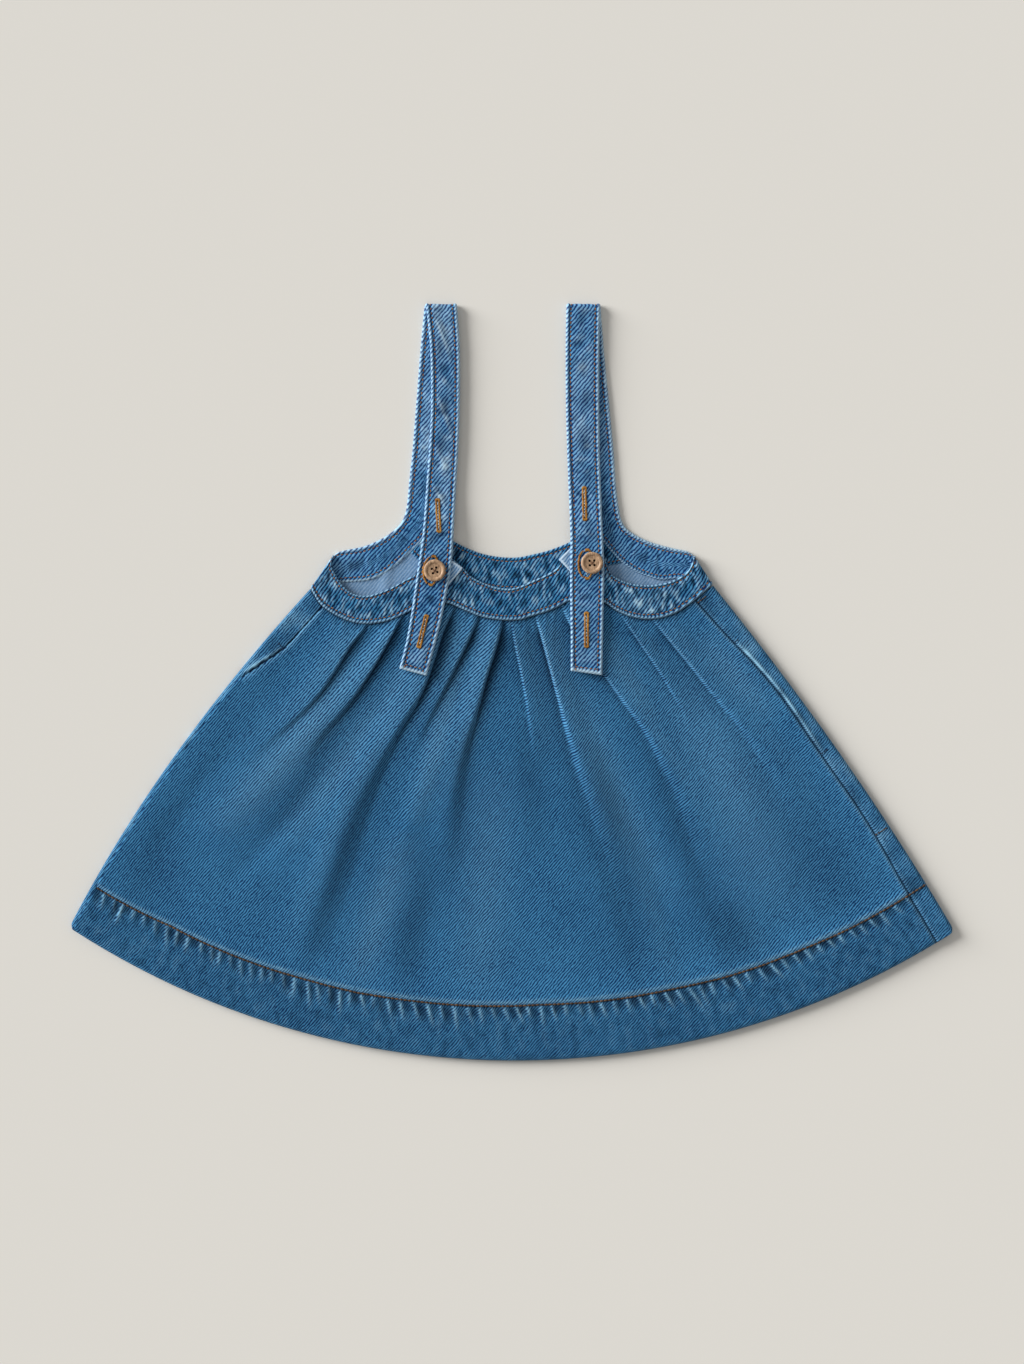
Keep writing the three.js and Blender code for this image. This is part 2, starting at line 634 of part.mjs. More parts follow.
function frontBand() {
  const rows = FRONT_BAND;
  const outer = [];
  const inner = [];
  const fold = foldSection(BAND_HEIGHT, DOUBLE_CLOTH, SIDE_FOLD_STEPS + 1);
  const at = (row, v, z) => [
    lerp(row.lowX, row.topX, v),
    lerp(row.lowY, row.topY, v),
    z,
  ];
  const between = (a, b, distance, v, z) => {
    const from = at(a, v, z);
    const to = at(b, v, z);
    const length = Math.hypot(to[0] - from[0], to[1] - from[1]);
    return [
      lerp(from[0], to[0], distance / length),
      lerp(from[1], to[1], distance / length),
      z,
    ];
  };
  const addFold = (edge, next, section) => {
    outer.push(BAND_DOWN.map((v) => between(edge, next, section.outerIn, v, section.outerZ)));
    inner.push(BAND_DOWN.map((v) => between(edge, next, section.innerIn, v, section.innerZ)));
  };
  for (const section of [...fold].reverse()) addFold(rows[0], rows[1], section);
  for (const row of rows.slice(1, -1)) {
    outer.push(BAND_DOWN.map((v) => at(row, v, BAND_HEIGHT - rollAt(v))));
    inner.push(BAND_DOWN.map((v) => at(row, v, BAND_HEIGHT - DOUBLE_CLOTH)));
  }
  for (const section of fold) addFold(rows[rows.length - 1], rows[rows.length - 2], section);
  return wall(outer, inner);
}

// The two ends of the back band lie beside the straps' inner edges
function backBandEnd(side, joins) {
  const inwards = side === "left" ? SEAM_GAP : -SEAM_GAP;
  return joins.map((k) => {
    const row = strapBacks[side][k];
    return { x: row.innerX + inwards, y: row.innerY - SEAM_GAP };
  });
}

function backBandLines() {
  const shares = [0, 0.3, 0.6, 1];
  const middle = refine(BACK_BAND, 1).map((row) =>
    shares.map((v) => ({ x: lerp(row.lowX, row.topX, v), y: lerp(row.lowY, row.topY, v) })),
  );
  return [backBandEnd("left", BAND_JOINS_LEFT), ...middle, backBandEnd("right", BAND_JOINS_RIGHT)];
}

function backBand() {
  const lines = backBandLines();
  const last = lines[0].length - 1;
  const top = (k) => DOUBLE_CLOTH - (k === 0 || k === last ? EDGE_ROLL : 0);
  const outer = lines.map((line) => line.map((p, k) => [p.x, p.y, top(k)]));
  const inner = lines.map((line) => line.map((p) => [p.x, p.y, 0]));
  return wall(outer, inner);
}

// Back of the skirt: flat on the table up to the bands, and round both side folds to the seams

function backTopEdge() {
  const below = (p) => ({ x: p.x, y: p.y - 1.3 * SEAM_GAP });
  const edge = (side, upTo) =>
    strapBacks[side].slice(0, upTo).map((row) => below({ x: row.innerX, y: row.innerY }));
  const left = edge("left", BAND_JOINS_LEFT[0]);
  const right = edge("right", BAND_JOINS_RIGHT[0]).reverse();
  const middle = backBandLines().map((line) => below(line[0]));
  return [...left, ...middle, ...right];
}

function backSkirt() {
  const topEdge = backTopEdge();
  const spread = waistXs[waistXs.length - 1] - waistXs[0];
  const columns = topEdge.map((p) => {
    const across = (p.x - waistXs[0]) / spread;
    return { across, lift: p.y - waistPoint(across).y };
  });
  const outer = [];
  const inner = [];
  for (const down of ROWS) {
    const thickness = clothThickness(down);
    const fold = foldSection(SIDE_HEIGHT, thickness, SIDE_FOLD_STEPS);
    const place = (across, z) => {
      const p = skirtPoint(across, down);
      return [p.x, p.y, z];
    };
    const outerRow = [];
    const innerRow = [];
    const leftWidth = widthAt(0, down);
    const rightWidth = widthAt(1, down);
    const seams = { left: sideSeam("left", down), right: sideSeam("right", down) };
    const topZ = (across) => frontHeight(across, down);
    const addTop = (across) => {
      outerRow.push(place(across, topZ(across)));
      innerRow.push(place(across, topZ(across) - thickness));
    };
    addTop(seams.left);
    addTop((seams.left + fold[0].outerIn / leftWidth) / 2 + 0.0001);
    for (const s of fold) {
      outerRow.push(place(s.outerIn / leftWidth, s.outerZ));
      innerRow.push(place(s.innerIn / leftWidth, s.innerZ));
    }
    const raise = Math.max(0, 1 - down / 0.25) ** 2;
    for (const column of columns) {
      const p = place(column.across, 0);
      p[1] += column.lift * raise;
      outerRow.push(p);
      innerRow.push([p[0], p[1], thickness]);
    }
    for (const s of [...fold].reverse()) {
      outerRow.push(place(1 - s.outerIn / rightWidth, s.outerZ));
      innerRow.push(place(1 - s.innerIn / rightWidth, s.innerZ));
    }
    addTop((seams.right + 1 - fold[0].outerIn / rightWidth) / 2 - 0.0001);
    addTop(seams.right);
    outer.push(outerRow);
    inner.push(innerRow);
  }
  return wall(outer, inner);
}

// Buttons: a turned disc with a rim and a shallow dish, and four sewing holes

const wasm = await Module();
wasm.setup();

function toSolid(geometry) {
  const bare = geometry.clone();
  bare.deleteAttribute("normal");
  bare.deleteAttribute("uv");
  const merged = mergeVertices(bare, 1e-4);
  const vertProperties = merged.attributes.position.array;
  const triVerts = new Uint32Array(merged.index.array);
  return new wasm.Manifold(new wasm.Mesh({ numProp: 3, vertProperties, triVerts }));
}

function toGeometry(solid) {
  const mesh = solid.getMesh();
  const geometry = new THREE.BufferGeometry();
  geometry.setAttribute("position", new THREE.BufferAttribute(mesh.vertProperties, 3));
  geometry.setIndex(new THREE.BufferAttribute(mesh.triVerts, 1));
  geometry.computeVertexNormals();
  return geometry;
}

function buttonGeometry() {
  const profile = [
    [0, 0],
    [BUTTON_RADIUS - 1.6, 0],
    [BUTTON_RADIUS - 0.5, 0.5],
    [BUTTON_RADIUS, 1.4],
    [BUTTON_RADIUS - 0.2, 2.4],
    [BUTTON_RADIUS - 1.0, BUTTON_THICKNESS],
    [BUTTON_DISH_RADIUS + 0.9, BUTTON_THICKNESS - 0.1],
    [BUTTON_DISH_RADIUS, BUTTON_THICKNESS - BUTTON_DISH_DEPTH],
    [0, BUTTON_THICKNESS - BUTTON_DISH_DEPTH - 0.1],
  ].map(([radius, z]) => new THREE.Vector2(radius, z));
  const disc = new THREE.LatheGeometry(profile, 28);
  disc.rotateX(Math.PI / 2);
  let solid = toSolid(disc);
  for (let k = 0; k < 4; k++) {
    const hole = new THREE.CylinderGeometry(
      BUTTON_HOLE_RADIUS,
      BUTTON_HOLE_RADIUS,
      3 * BUTTON_THICKNESS,
      10,
    );
    hole.rotateX(Math.PI / 2);
    const x = (k % 2 ? 1 : -1) * (BUTTON_HOLE_PITCH / 2);
    const y = (k < 2 ? 1 : -1) * (BUTTON_HOLE_PITCH / 2);
    hole.translate(x, y, 0);
    solid = solid.subtract(toSolid(hole));
  }
  return toGeometry(solid);
}

const dress = new THREE.Group();

function add(name, geometry, color, roughness) {
  const material = new THREE.MeshStandardMaterial({ color, roughness, metalness: 0 });
  const mesh = new THREE.Mesh(geometry, material);
  mesh.name = name;
  dress.add(mesh);
  return mesh;
}

const DENIM = 0x315f8c;
const FADED_DENIM = 0x4f7fa6;
const WRONG_SIDE_DENIM = 0x3a6790;
const BUTTON_WOOD = 0x90745b;

add("front_skirt", frontSkirt(), DENIM, 0.9);
add("back_skirt", backSkirt(), WRONG_SIDE_DENIM, 0.9);
add("front_band", frontBand(), FADED_DENIM, 0.9);
add("back_band", backBand(), FADED_DENIM, 0.9);
add("strap_left", strap("left"), FADED_DENIM, 0.9);
add("strap_right", strap("right"), FADED_DENIM, 0.9);

for (const side of ["left", "right"]) {
  const { x, y, turn } = BUTTONS[side];
  const button = add(`button_${side}`, buttonGeometry(), BUTTON_WOOD, 0.55);
  button.rotation.z = THREE.MathUtils.degToRad(turn);
  button.position.set(x, y, BAND_HEIGHT + STRAP_CLEARANCE + DOUBLE_CLOTH + LAY_GAP);
}

export default dress;
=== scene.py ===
"""A child's denim pinafore dress, laid flat on a pale floor and seen from straight above.

The cloth is worked out in millimetres in the dress's own frame (X across, Y from hem to straps,
Z up from the floor) and each finished mesh is turned to metres once.
"""

import math
import random
from functools import lru_cache

import bmesh
import bpy
from mathutils import Matrix, Vector, noise


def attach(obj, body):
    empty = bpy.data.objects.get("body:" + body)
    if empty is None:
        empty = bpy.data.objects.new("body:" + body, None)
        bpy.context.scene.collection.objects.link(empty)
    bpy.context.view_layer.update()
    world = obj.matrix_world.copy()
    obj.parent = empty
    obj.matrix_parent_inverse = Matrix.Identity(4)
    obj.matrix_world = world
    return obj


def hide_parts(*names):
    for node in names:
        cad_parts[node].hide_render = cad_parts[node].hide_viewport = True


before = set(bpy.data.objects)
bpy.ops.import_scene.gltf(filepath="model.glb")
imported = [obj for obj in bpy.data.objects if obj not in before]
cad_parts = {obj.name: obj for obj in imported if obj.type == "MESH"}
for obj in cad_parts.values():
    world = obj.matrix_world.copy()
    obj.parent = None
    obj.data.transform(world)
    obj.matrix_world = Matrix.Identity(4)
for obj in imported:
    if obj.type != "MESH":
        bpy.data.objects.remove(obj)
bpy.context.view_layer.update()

MM = 0.001
SIDES = ("left", "right")

# Cloth thicknesses and the clearances between layers
CLOTH = 1.1
DOUBLE_CLOTH = 2.0
SEAM_GAP = 0.35
WAIST_SEAM_DROP = 0.7
LAY_GAP = 0.4

# The skirt: plan of the hem, fullness of the sides and heights over the floor
HEM_RADIUS = 551.5
HEM_CENTRE = (2.0, 294.5)
HEM_LEFT_X = -300.6
HEM_RIGHT_X = 300.6
BOW_LEFT = 11.5
BOW_RIGHT = 6.5
SIDE_HEIGHT = 4.8
PANEL_HEIGHT = 3.4
WAIST_HEIGHT = 4.2
HEM_HEIGHT = 4.8
HEM_FOLD = 0.875
SIDE_EASE = 34
POCKET_LIP = 0.8
POCKET_LIP_WIDTH = 5
CORNER_RADIUS = 4.5
HEM_DROP = 290
# Rounded lengths that turn a share of the way down into millimetres, for the waist's gathers
# and for the hem's stitches
WAIST_REACH = 300
HEM_REACH = 302
HEM_LENGTH = 602.0

# The bands, straps and buttons
BAND_HEIGHT = 5.2
STRAP_CLEARANCE = 0.4
BUTTON_RADIUS = 7.5
BUTTON_THICKNESS = 3.0
BUTTON_DISH_RADIUS = 4.7
BUTTON_DISH_DEPTH = 0.8
BUTTON_HOLE_RADIUS = 0.85
BUTTON_HOLE_PITCH = 3.1
BUTTON_THREAD_RADIUS = 0.8

# Thread
STITCH_LENGTH = 2.3
STITCH_PITCH = 3.1
STITCH_WIDTH = 0.75
# From an edge to its stitches: straps and the front band's skirt edge, its free edge, back band
STITCH_INSET = 3.3
BAND_TOP_INSET = 2.5
BACK_BAND_INSET = 2.7
HEM_STITCHES = {"length": 3.2, "pitch": 2.9, "width": 1.55}
BAR_STITCHES = {"length": 1.9, "pitch": 1.9, "width": 0.9}
BUTTONHOLE_PITCH = 0.62
# Height of a stitch's middle over the cloth
SEATED = 0.12

# Front band: each row is a line across it, (low x, low y, top x, top y), from its skirt edge to
# its free edge. Both tabs rise under the straps, where the buttons are sewn.
FRONT_BAND = [
    (-137.1, 63.9, -120.6, 86.6),
    (-133.9, 58.2, -122.7, 80.1),
    (-129.9, 52.4, -120.3, 74.0),
    (-122.2, 46.7, -115.5, 66.3),
    (-112.7, 42.0, -108.0, 60.2),
    (-104.0, 39.6, -99.3, 58.6),
    (-95.5, 39.3, -91.0, 60.4),
    (-85.0, 41.0, -80.0, 65.0),
    (-77.4, 43.9, -72.0, 69.6),
    (-68.8, 48.1, -66.0, 73.0),
    (-61.0, 50.9, -61.0, 82.0),
    (-51.5, 53.2, -51.0, 88.5),
    (-43.0, 53.0, -40.5, 83.5),
    (-35.0, 49.9, -33.0, 77.2),
    (-28.5, 47.0, -28.0, 71.9),
    (-20.0, 43.9, -20.1, 67.7),
    (-10.6, 42.2, -10.6, 64.4),
    (-3.0, 41.6, -1.0, 63.4),
    (5.4, 42.0, 6.0, 65.2),
    (12.6, 44.2, 12.6, 68.1),
    (23.1, 47.3, 23.1, 72.8),
    (31.0, 50.7, 31.4, 78.1),
    (38.7, 54.6, 38.6, 88.5),
    (51.0, 56.6, 51.0, 93.0),
    (62.0, 53.8, 62.0, 84.0),
    (66.0, 51.6, 66.5, 74.6),
    (70.9, 48.3, 71.5, 70.5),
    (80.2, 44.2, 80.2, 67.1),
    (90.7, 42.4, 90.7, 65.8),
    (101.1, 43.2, 100.0, 66.5),
    (111.5, 46.8, 109.0, 68.8),
    (121.9, 53.6, 117.5, 73.6),
    (128.9, 59.4, 121.6, 79.2),
    (136.6, 66.1, 123.5, 86.0),
]

# Back band between the straps, with rows like the front band's
BACK_BAND = [
    (-60.0, 79.6, -46.5, 99.4),
    (-46.0, 73.5, -39.2, 95.4),
    (-34.0, 69.0, -29.6, 90.6),
    (-23.0, 65.3, -20.1, 87.2),
    (-12.0, 63.0, -10.6, 85.3),
    (-2.0, 62.0, -2.0, 84.6),
    (7.0, 62.4, 5.4, 84.9),
    (15.0, 63.6, 12.6, 86.4),
    (27.0, 67.0, 23.1, 88.9),
    (39.0, 71.0, 33.5, 92.6),
    (49.0, 74.6, 41.0, 96.0),
    (62.0, 78.2, 48.5, 99.8),
]

# Straps: each row is a line across, (outer x, outer y, inner x, inner y). The back leg starts at
# the side corner of the band, follows the armhole and runs up to the shoulder fold.
STRAP_BACKS = {
    "left": [
        (-115.5, 89.0, -131.5, 66.4),
        (-110.0, 90.2, -115.0, 67.5),
        (-101.3, 92.0, -98.9, 68.7),
        (-94.5, 94.5, -87.0, 73.2),
        (-88.8, 97.2, -77.5, 80.2),
        (-83.0, 100.9, -69.0, 88.0),
        (-78.3, 104.9, -61.9, 95.2),
        (-74.5, 109.7, -55.5, 103.5),
        (-71.7, 118.3, -50.6, 113.8),
        (-69.8, 137.4, -48.2, 135.6),
        (-67.7, 157.1, -46.0, 155.8),
        (-65.3, 187.0, -43.4, 185.8),
        (-62.2, 226.6, -40.2, 226.0),
        (-59.6, 254.6, -37.4, 254.6),
    ],
    "right": [
        (118.0, 89.2, 131.8, 68.0),
        (110.5, 90.7, 114.5, 70.0),
        (102.0, 92.8, 101.0, 69.1),
        (95.5, 94.7, 89.5, 72.3),
        (90.0, 96.9, 79.5, 77.4),
        (83.5, 100.2, 70.5, 84.8),
        (77.5, 104.7, 63.2, 93.3),
        (74.6, 109.7, 56.8, 102.0),
        (73.1, 115.5, 52.2, 111.4),
        (70.9, 131.2, 49.0, 129.0),
        (69.0, 157.1, 47.2, 156.0),
        (66.2, 187.0, 44.4, 186.0),
        (62.6, 224.0, 40.8, 223.4),
        (60.2, 254.6, 37.4, 254.6),
    ],
}

# The front legs come down from the shoulder fold to their free ends. The fifth column is the
# height of the underside, where nothing under the strap is higher.
STRAP_FRONTS = {
    "left": [
        (-58.4, 254.6, -37.2, 254.6, 2.4),
        (-55.6, 226.0, -35.4, 226.0, 2.4),
        (-55.0, 187.0, -35.4, 187.0, 2.4),
        (-56.4, 157.0, -36.4, 157.0, 2.4),
        (-58.0, 137.0, -37.6, 137.0, 2.4),
        (-59.0, 122.0, -38.4, 122.0, 3.0),
        (-60.0, 108.0, -39.2, 107.5, 4.6),
        (-61.2, 96.0, -39.8, 95.0, 5.6),
        (-62.8, 85.0, -40.6, 83.5, 5.6),
        (-64.4, 74.0, -42.0, 72.0, 5.6),
        (-66.3, 61.0, -44.6, 58.0, 5.6),
        (-68.6, 45.0, -48.0, 41.0, 5.6),
        (-71.8, 27.5, -52.6, 23.0, 5.6),
        (-76.4, 9.2, -57.8, 4.2, 5.9),
    ],
    "right": [
        (59.9, 254.6, 36.9, 254.6, 2.4),
        (59.4, 226.0, 36.4, 226.0, 2.4),
        (59.3, 187.0, 36.6, 187.0, 2.4),
        (59.7, 154.0, 37.5, 154.0, 2.4),
        (60.3, 136.0, 38.2, 136.0, 2.4),
        (60.8, 122.0, 38.8, 122.0, 3.2),
        (61.2, 110.0, 39.2, 110.0, 4.8),
        (61.7, 99.0, 39.5, 99.0, 5.6),
        (62.2, 88.0, 39.6, 88.0, 5.6),
        (62.6, 77.0, 39.4, 77.0, 5.6),
        (62.4, 62.0, 39.4, 62.0, 5.6),
        (62.0, 45.0, 39.6, 45.0, 5.6),
        (61.7, 28.0, 39.8, 28.5, 5.6),
        (61.2, 4.6, 39.8, 7.6, 5.9),
    ],
}

# Centre and turn of each button, and centre, length and lean of each buttonhole
BUTTONS = {"left": (-52.4, 75.5, 15), "right": (54.2, 80.6, 3)}
BUTTONHOLES = {
    "left": [(-50.0, 112.9, 21.0, 3), (-54.0, 75.5, 22.0, -6), (-60.5, 34.3, 21.0, -14)],
    "right": [(49.2, 121.0, 21.0, 1), (51.0, 79.9, 22.0, 0), (50.5, 35.4, 22.0, 0)],
}
# Creases on the straps' front legs: down from the shoulder fold and in from the outer edge at one
# end and at the other, and strength
STRAP_CREASES = {
    "left": [
        (3, 4, 34, 13, 1.0),
        (8, 8, 22, 13, 0.6),
        (44, 5, 59, 15, 0.9),
        (61, 4, 89, 16, 1.0),
        (95, 5, 110, 12, 0.5),
        (121, 4, 137, 15, 0.9),
    ],
    "right": [(36, 15, 52, 6, 0.35), (118, 18, 126, 8, 0.4)],
}
# Dark patches along the middle of the front legs: down from the fold, in from the outer edge,
# half length and strength
STRAP_PATCHES = {
    "left": [
        (27, 7, 7, 0.6),
        (43, 9, 6, 0.55),
        (66, 10, 8, 0.65),
        (92, 7.5, 9, 0.65),
        (127, 5, 6, 0.5),
        (157, 7, 8, 0.5),
    ],
    "right": [
        (4, 12, 5, 0.5),
        (18, 12, 6, 0.35),
        (40, 12, 6, 0.4),
        (63, 9, 8, 0.6),
        (92, 10, 9, 0.7),
        (115, 9, 7, 0.55),
        (153, 9, 10, 0.5),
    ],
}
# The buttoned holes are pulled open: how much shorter, and how far each side spreads
PULLED_OPEN = (3.4, (5.0, 2.4))

# Places down the skirt (0 at the waist seam, 1 at the hem) at which the tables of folds and side
# seams give a place across it (0 at the left edge, 1 at the right edge)
DOWN = (0, 0.06, 0.12, 0.2, 0.3, 0.45, 0.65, 0.86, 1)

SIDE_SEAMS = {
    "left": (0.03, 0.029, 0.027, 0.014, 0, 0, 0, 0, 0),
    "right": (0.956, 0.961, 0.966, 0.974, 0.979, 0.978, 0.98, 0.977, 0.977),
}
POCKETS = {"left": (0.13, 0.37), "right": (0.13, 0.46)}

# The hem's stitch line: how far down it lies at each place across
HEM_STITCH_ACROSS = (0, 0.1, 0.216, 0.325, 0.425, 0.53, 0.634, 0.741, 0.841, 0.95, 1)
HEM_STITCH_DOWN = (0.873, 0.864, 0.876, 0.884, 0.879, 0.874, 0.879, 0.877, 0.866, 0.864, 0.863)
BACK_STITCH_DOWN = HEM_STITCH_DOWN[-1]

# Pleats: places across of the edge, side that is raised (-1 left, 1 right), height, width of the
# raised cloth, depth of the groove, and how far down it reaches
PLEATS = [
    ((0.142, 0.134, 0.134, 0.13, 0.109, 0.078, 0.055, 0.042, 0.04), -1, 2.4, 30, 0.5, 0.42),
    ((0.228, 0.221, 0.213, 0.199, 0.175, 0.165, 0.151, 0.144, 0.14), -1, 3.4, 22, 1.0, 0.37),
    ((0.358, 0.345, 0.34, 0.331, 0.305, 0.284, 0.274, 0.266, 0.262), -1, 3.0, 26, 0.8, 0.85),
    ((0.419, 0.402, 0.386, 0.367, 0.348, 0.339, 0.339, 0.339, 0.339), -1, 2.6, 14, 0.7, 0.34),
    ((0.478, 0.465, 0.451, 0.438, 0.424, 0.416, 0.418, 0.42, 0.42), -1, 3.2, 17, 0.9, 0.5),
    ((0.5, 0.509, 0.52, 0.53, 0.537, 0.543, 0.546, 0.546, 0.546), 1, 1.8, 15, 0.4, 0.34),
    ((0.56, 0.571, 0.58, 0.59, 0.602, 0.623, 0.646, 0.66, 0.665), 1, 2.6, 18, 0.6, 1.05),
    ((0.624, 0.64, 0.662, 0.696, 0.733, 0.756, 0.76, 0.769, 0.774), 1, 2.2, 30, 0.5, 1.0),
    ((0.769, 0.789, 0.804, 0.815, 0.822, 0.826, 0.833, 0.836, 0.838), 1, 1.8, 16, 0.4, 0.26),
    ((0.851, 0.863, 0.874, 0.884, 0.898, 0.906, 0.903, 0.903, 0.904), 1, 1.8, 20, 0.5, 0.62),
]
# Painted highlights on the soft folds' ridges and painted shade in their troughs, with faded and
# dark areas from washing: two ends, strength (below 0 for dark) and half width
PAINTED_LIGHT_AND_FADING = [
    (0.187, 0.03, 0.094, 0.61, 0.3, 15),
    (0.27, 0.14, 0.19, 0.6, 0.2, 14),
    (0.30, 0.02, 0.26, 0.36, 0.2, 10),
    (0.395, 0.03, 0.36, 0.5, 0.26, 9),
    (0.45, 0.03, 0.40, 0.42, 0.2, 7),
    (0.35, 0.5, 0.32, 0.9, 0.22, 12),
    (0.47, 0.3, 0.46, 0.9, 0.16, 18),
    (0.60, 0.08, 0.70, 0.7, 0.2, 13),
    (0.70, 0.04, 0.76, 0.3, 0.22, 12),
    (0.844, 0.08, 0.83, 0.8, 0.2, 26),
    (0.92, 0.05, 0.95, 0.34, 0.22, 14),
    (0.284, 0.3, 0.262, 0.88, -0.55, 8),
    (0.205, 0.18, 0.165, 0.56, -0.35, 8),
    (0.385, 0.5, 0.38, 0.9, -0.4, 12),
    (0.425, 0.22, 0.418, 0.62, -0.45, 7),
    (0.52, 0.2, 0.54, 0.55, -0.3, 10),
    (0.63, 0.3, 0.66, 0.9, -0.45, 11),
    (0.74, 0.3, 0.765, 0.9, -0.35, 12),
    (0.775, 0.7, 0.775, 0.88, -0.3, 14),
    (0.03, 0.55, 0.06, 0.9, -0.2, 16),
    (0.91, 0.45, 0.9, 0.9, -0.2, 22),
]
# Half width of a pleat's steep edge, its strength at the waist, and how far down it is full
PLEAT_EDGE = 0.7
PLEAT_START = 0.35
PLEAT_FULL = 0.06

# Soft folds: across and down of one end and of the other, height (below 0 for a trough) and
# half width
SOFT_FOLDS = [
    (0.178, 0.1, 0.088, 0.68, 1.5, 15),
    (0.215, 0.36, 0.134, 0.74, -0.9, 9),
    (0.395, 0.2, 0.34, 0.6, 1.3, 9),
    (0.845, 0.25, 0.83, 0.74, 1.2, 24),
    (0.385, 0.66, 0.378, 0.86, -0.7, 12),
    (0.06, 0.3, 0.03, 0.8, -0.6, 11),
]


def side_end(side):
    """The place across of a side, and which way is inwards from it."""
    return (0.0, 1) if side == "left" else (1.0, -1)


def lerp(a, b, u):
    return a + (b - a) * u


def smoothstep(x, low, high):
    u = min(1.0, max(0.0, (x - low) / (high - low)))
    return u * u * (3 - 2 * u)


def bell(distance, width):
    return math.exp(-((distance / width) ** 2))


def noise_at(x, y, seed):
    """A smooth noise over a plane, from -1 to 1, with a slice of its own for each seed."""
    return noise.noise(Vector((x, y, seed)))


def graph(xs, ys, x):
    """The value at x of the straight-line graph through the points (xs, ys)."""
    if x <= xs[0]:
        return ys[0]
    for k in range(1, len(xs)):
        if x <= xs[k]:
            return lerp(ys[k - 1], ys[k], (x - xs[k - 1]) / (xs[k] - xs[k - 1]))
    return ys[-1]


def curve(xs, ys, x):
    """The value at x of a smooth curve through the points (xs, ys)."""
    if x <= xs[0]:
        return ys[0]
    if x >= xs[-1]:
        return ys[-1]
    k = next(k for k in range(1, len(xs)) if x <= xs[k])
    slopes = []
    for j in (k - 1, k):
        low, high = max(0, j - 1), min(len(xs) - 1, j + 1)
        slopes.append((ys[high] - ys[low]) / (xs[high] - xs[low]))
    span = xs[k] - xs[k - 1]
    u = (x - xs[k - 1]) / span
    from_start = (1 + 2 * u) * (1 - u) ** 2 * ys[k - 1] + u * (1 - u) ** 2 * span * slopes[0]
    return from_start + u * u * (3 - 2 * u) * ys[k] + u * u * (u - 1) * span * slopes[1]


def refine(table, steps):
    """The rows of a table with smooth rows put between them."""

    def at(k):
        return table[min(len(table) - 1, max(0, k))]

    rows = []
    for k in range(len(table) - 1):
        for n in range(steps):
            u = n / steps
            row = []
            for before, start, end, after in zip(at(k - 1), at(k), at(k + 1), at(k + 2)):
                leave = (end - before) / 2
                arrive = (after - start) / 2
                bend = 3 * (end - start) - 2 * leave - arrive
                turn = leave + arrive - 2 * (end - start)
                row.append(start + u * (leave + u * (bend + u * turn)))
            rows.append(tuple(row))
    rows.append(tuple(table[-1]))
    return rows


# Plan and heights of the skirt

WAIST_XS = [row[0] for row in FRONT_BAND]
WAIST_YS = [row[1] for row in FRONT_BAND]
WAIST_SPREAD = WAIST_XS[-1] - WAIST_XS[0]
HEM_FROM = math.asin((HEM_LEFT_X - HEM_CENTRE[0]) / HEM_RADIUS)
HEM_TO = math.asin((HEM_RIGHT_X - HEM_CENTRE[0]) / HEM_RADIUS)


@lru_cache(maxsize=None)
def waist_point(across):
    x = lerp(WAIST_XS[0], WAIST_XS[-1], across)
    return x, graph(WAIST_XS, WAIST_YS, x) - WAIST_SEAM_DROP


@lru_cache(maxsize=None)
def hem_point(across):
    angle = lerp(HEM_FROM, HEM_TO, across)
    x, y = HEM_CENTRE
    return x + HEM_RADIUS * math.sin(angle), y - HEM_RADIUS * math.cos(angle)


def skirt_point(across, down):
    waist = waist_point(across)
    hem = hem_point(across)
    side = 2 * across - 1
    bow = side * (BOW_LEFT if side < 0 else BOW_RIGHT) * 4 * down * (1 - down)
    return lerp(waist[0], hem[0], down) + bow, lerp(waist[1], hem[1], down)


def corner_place(across, down):
    """The place that a place near one of the hem's two corners moves to as they are rounded."""
    end = 0.0 if across < 0.5 else 1.0
    scale = width_at(end, down)
    u = 1 - abs(across - end) * scale / CORNER_RADIUS
    v = 1 - (1 - down) * HEM_DROP / CORNER_RADIUS
    if u <= 0 or v <= 0:
        return across, down
    side_inset = CORNER_RADIUS * (1 - u * math.sqrt(1 - v * v / 2))
    hem_inset = CORNER_RADIUS * (1 - v * math.sqrt(1 - u * u / 2))
    return abs(end - side_inset / scale), 1 - hem_inset / HEM_DROP


@lru_cache(maxsize=None)
def width_at(across, down):
    """Millimetres for each unit across, near a place on the skirt."""
    step = 0.004
    start = min(across, 1 - step)
    a = skirt_point(start, down)
    b = skirt_point(start + step, down)
    return math.hypot(b[0] - a[0], b[1] - a[1]) / step


def skirt_place(x, y):
    """The place on the skirt, across and down, of a point of the plan."""
    across, down = 0.5, 0.1
    for _ in range(30):
        waist_y = waist_point(across)[1]
        down = (waist_y - y) / (waist_y - hem_point(across)[1])
        here = skirt_point(across, down)[0]
        ahead = skirt_point(across + 0.001, down)[0]
        across += (x - here) * 0.001 / (ahead - here)
    return across, down


@lru_cache(maxsize=None)
def side_seam(side, down):
    fold_top = (SIDE_HEIGHT / 2 + 0.6) / width_at(side_end(side)[0], down)
    seam = curve(DOWN, SIDE_SEAMS[side], down)
    return max(seam, fold_top) if side == "left" else min(seam, 1 - fold_top)


@lru_cache(maxsize=None)
def pleats_at(down):
    """Each pleat at one row: its edge, the width there and its strength."""
    found = []
    for across, raised, height, width, groove, reach in PLEATS:
        edge = curve(DOWN, across, down)
        start = lerp(PLEAT_START, 1, smoothstep(down, 0, PLEAT_FULL))
        strength = start * max(0.0, 1 - down / reach) ** 0.8
        found.append((edge, width_at(edge, down), raised, height, width, groove, strength))
    return found


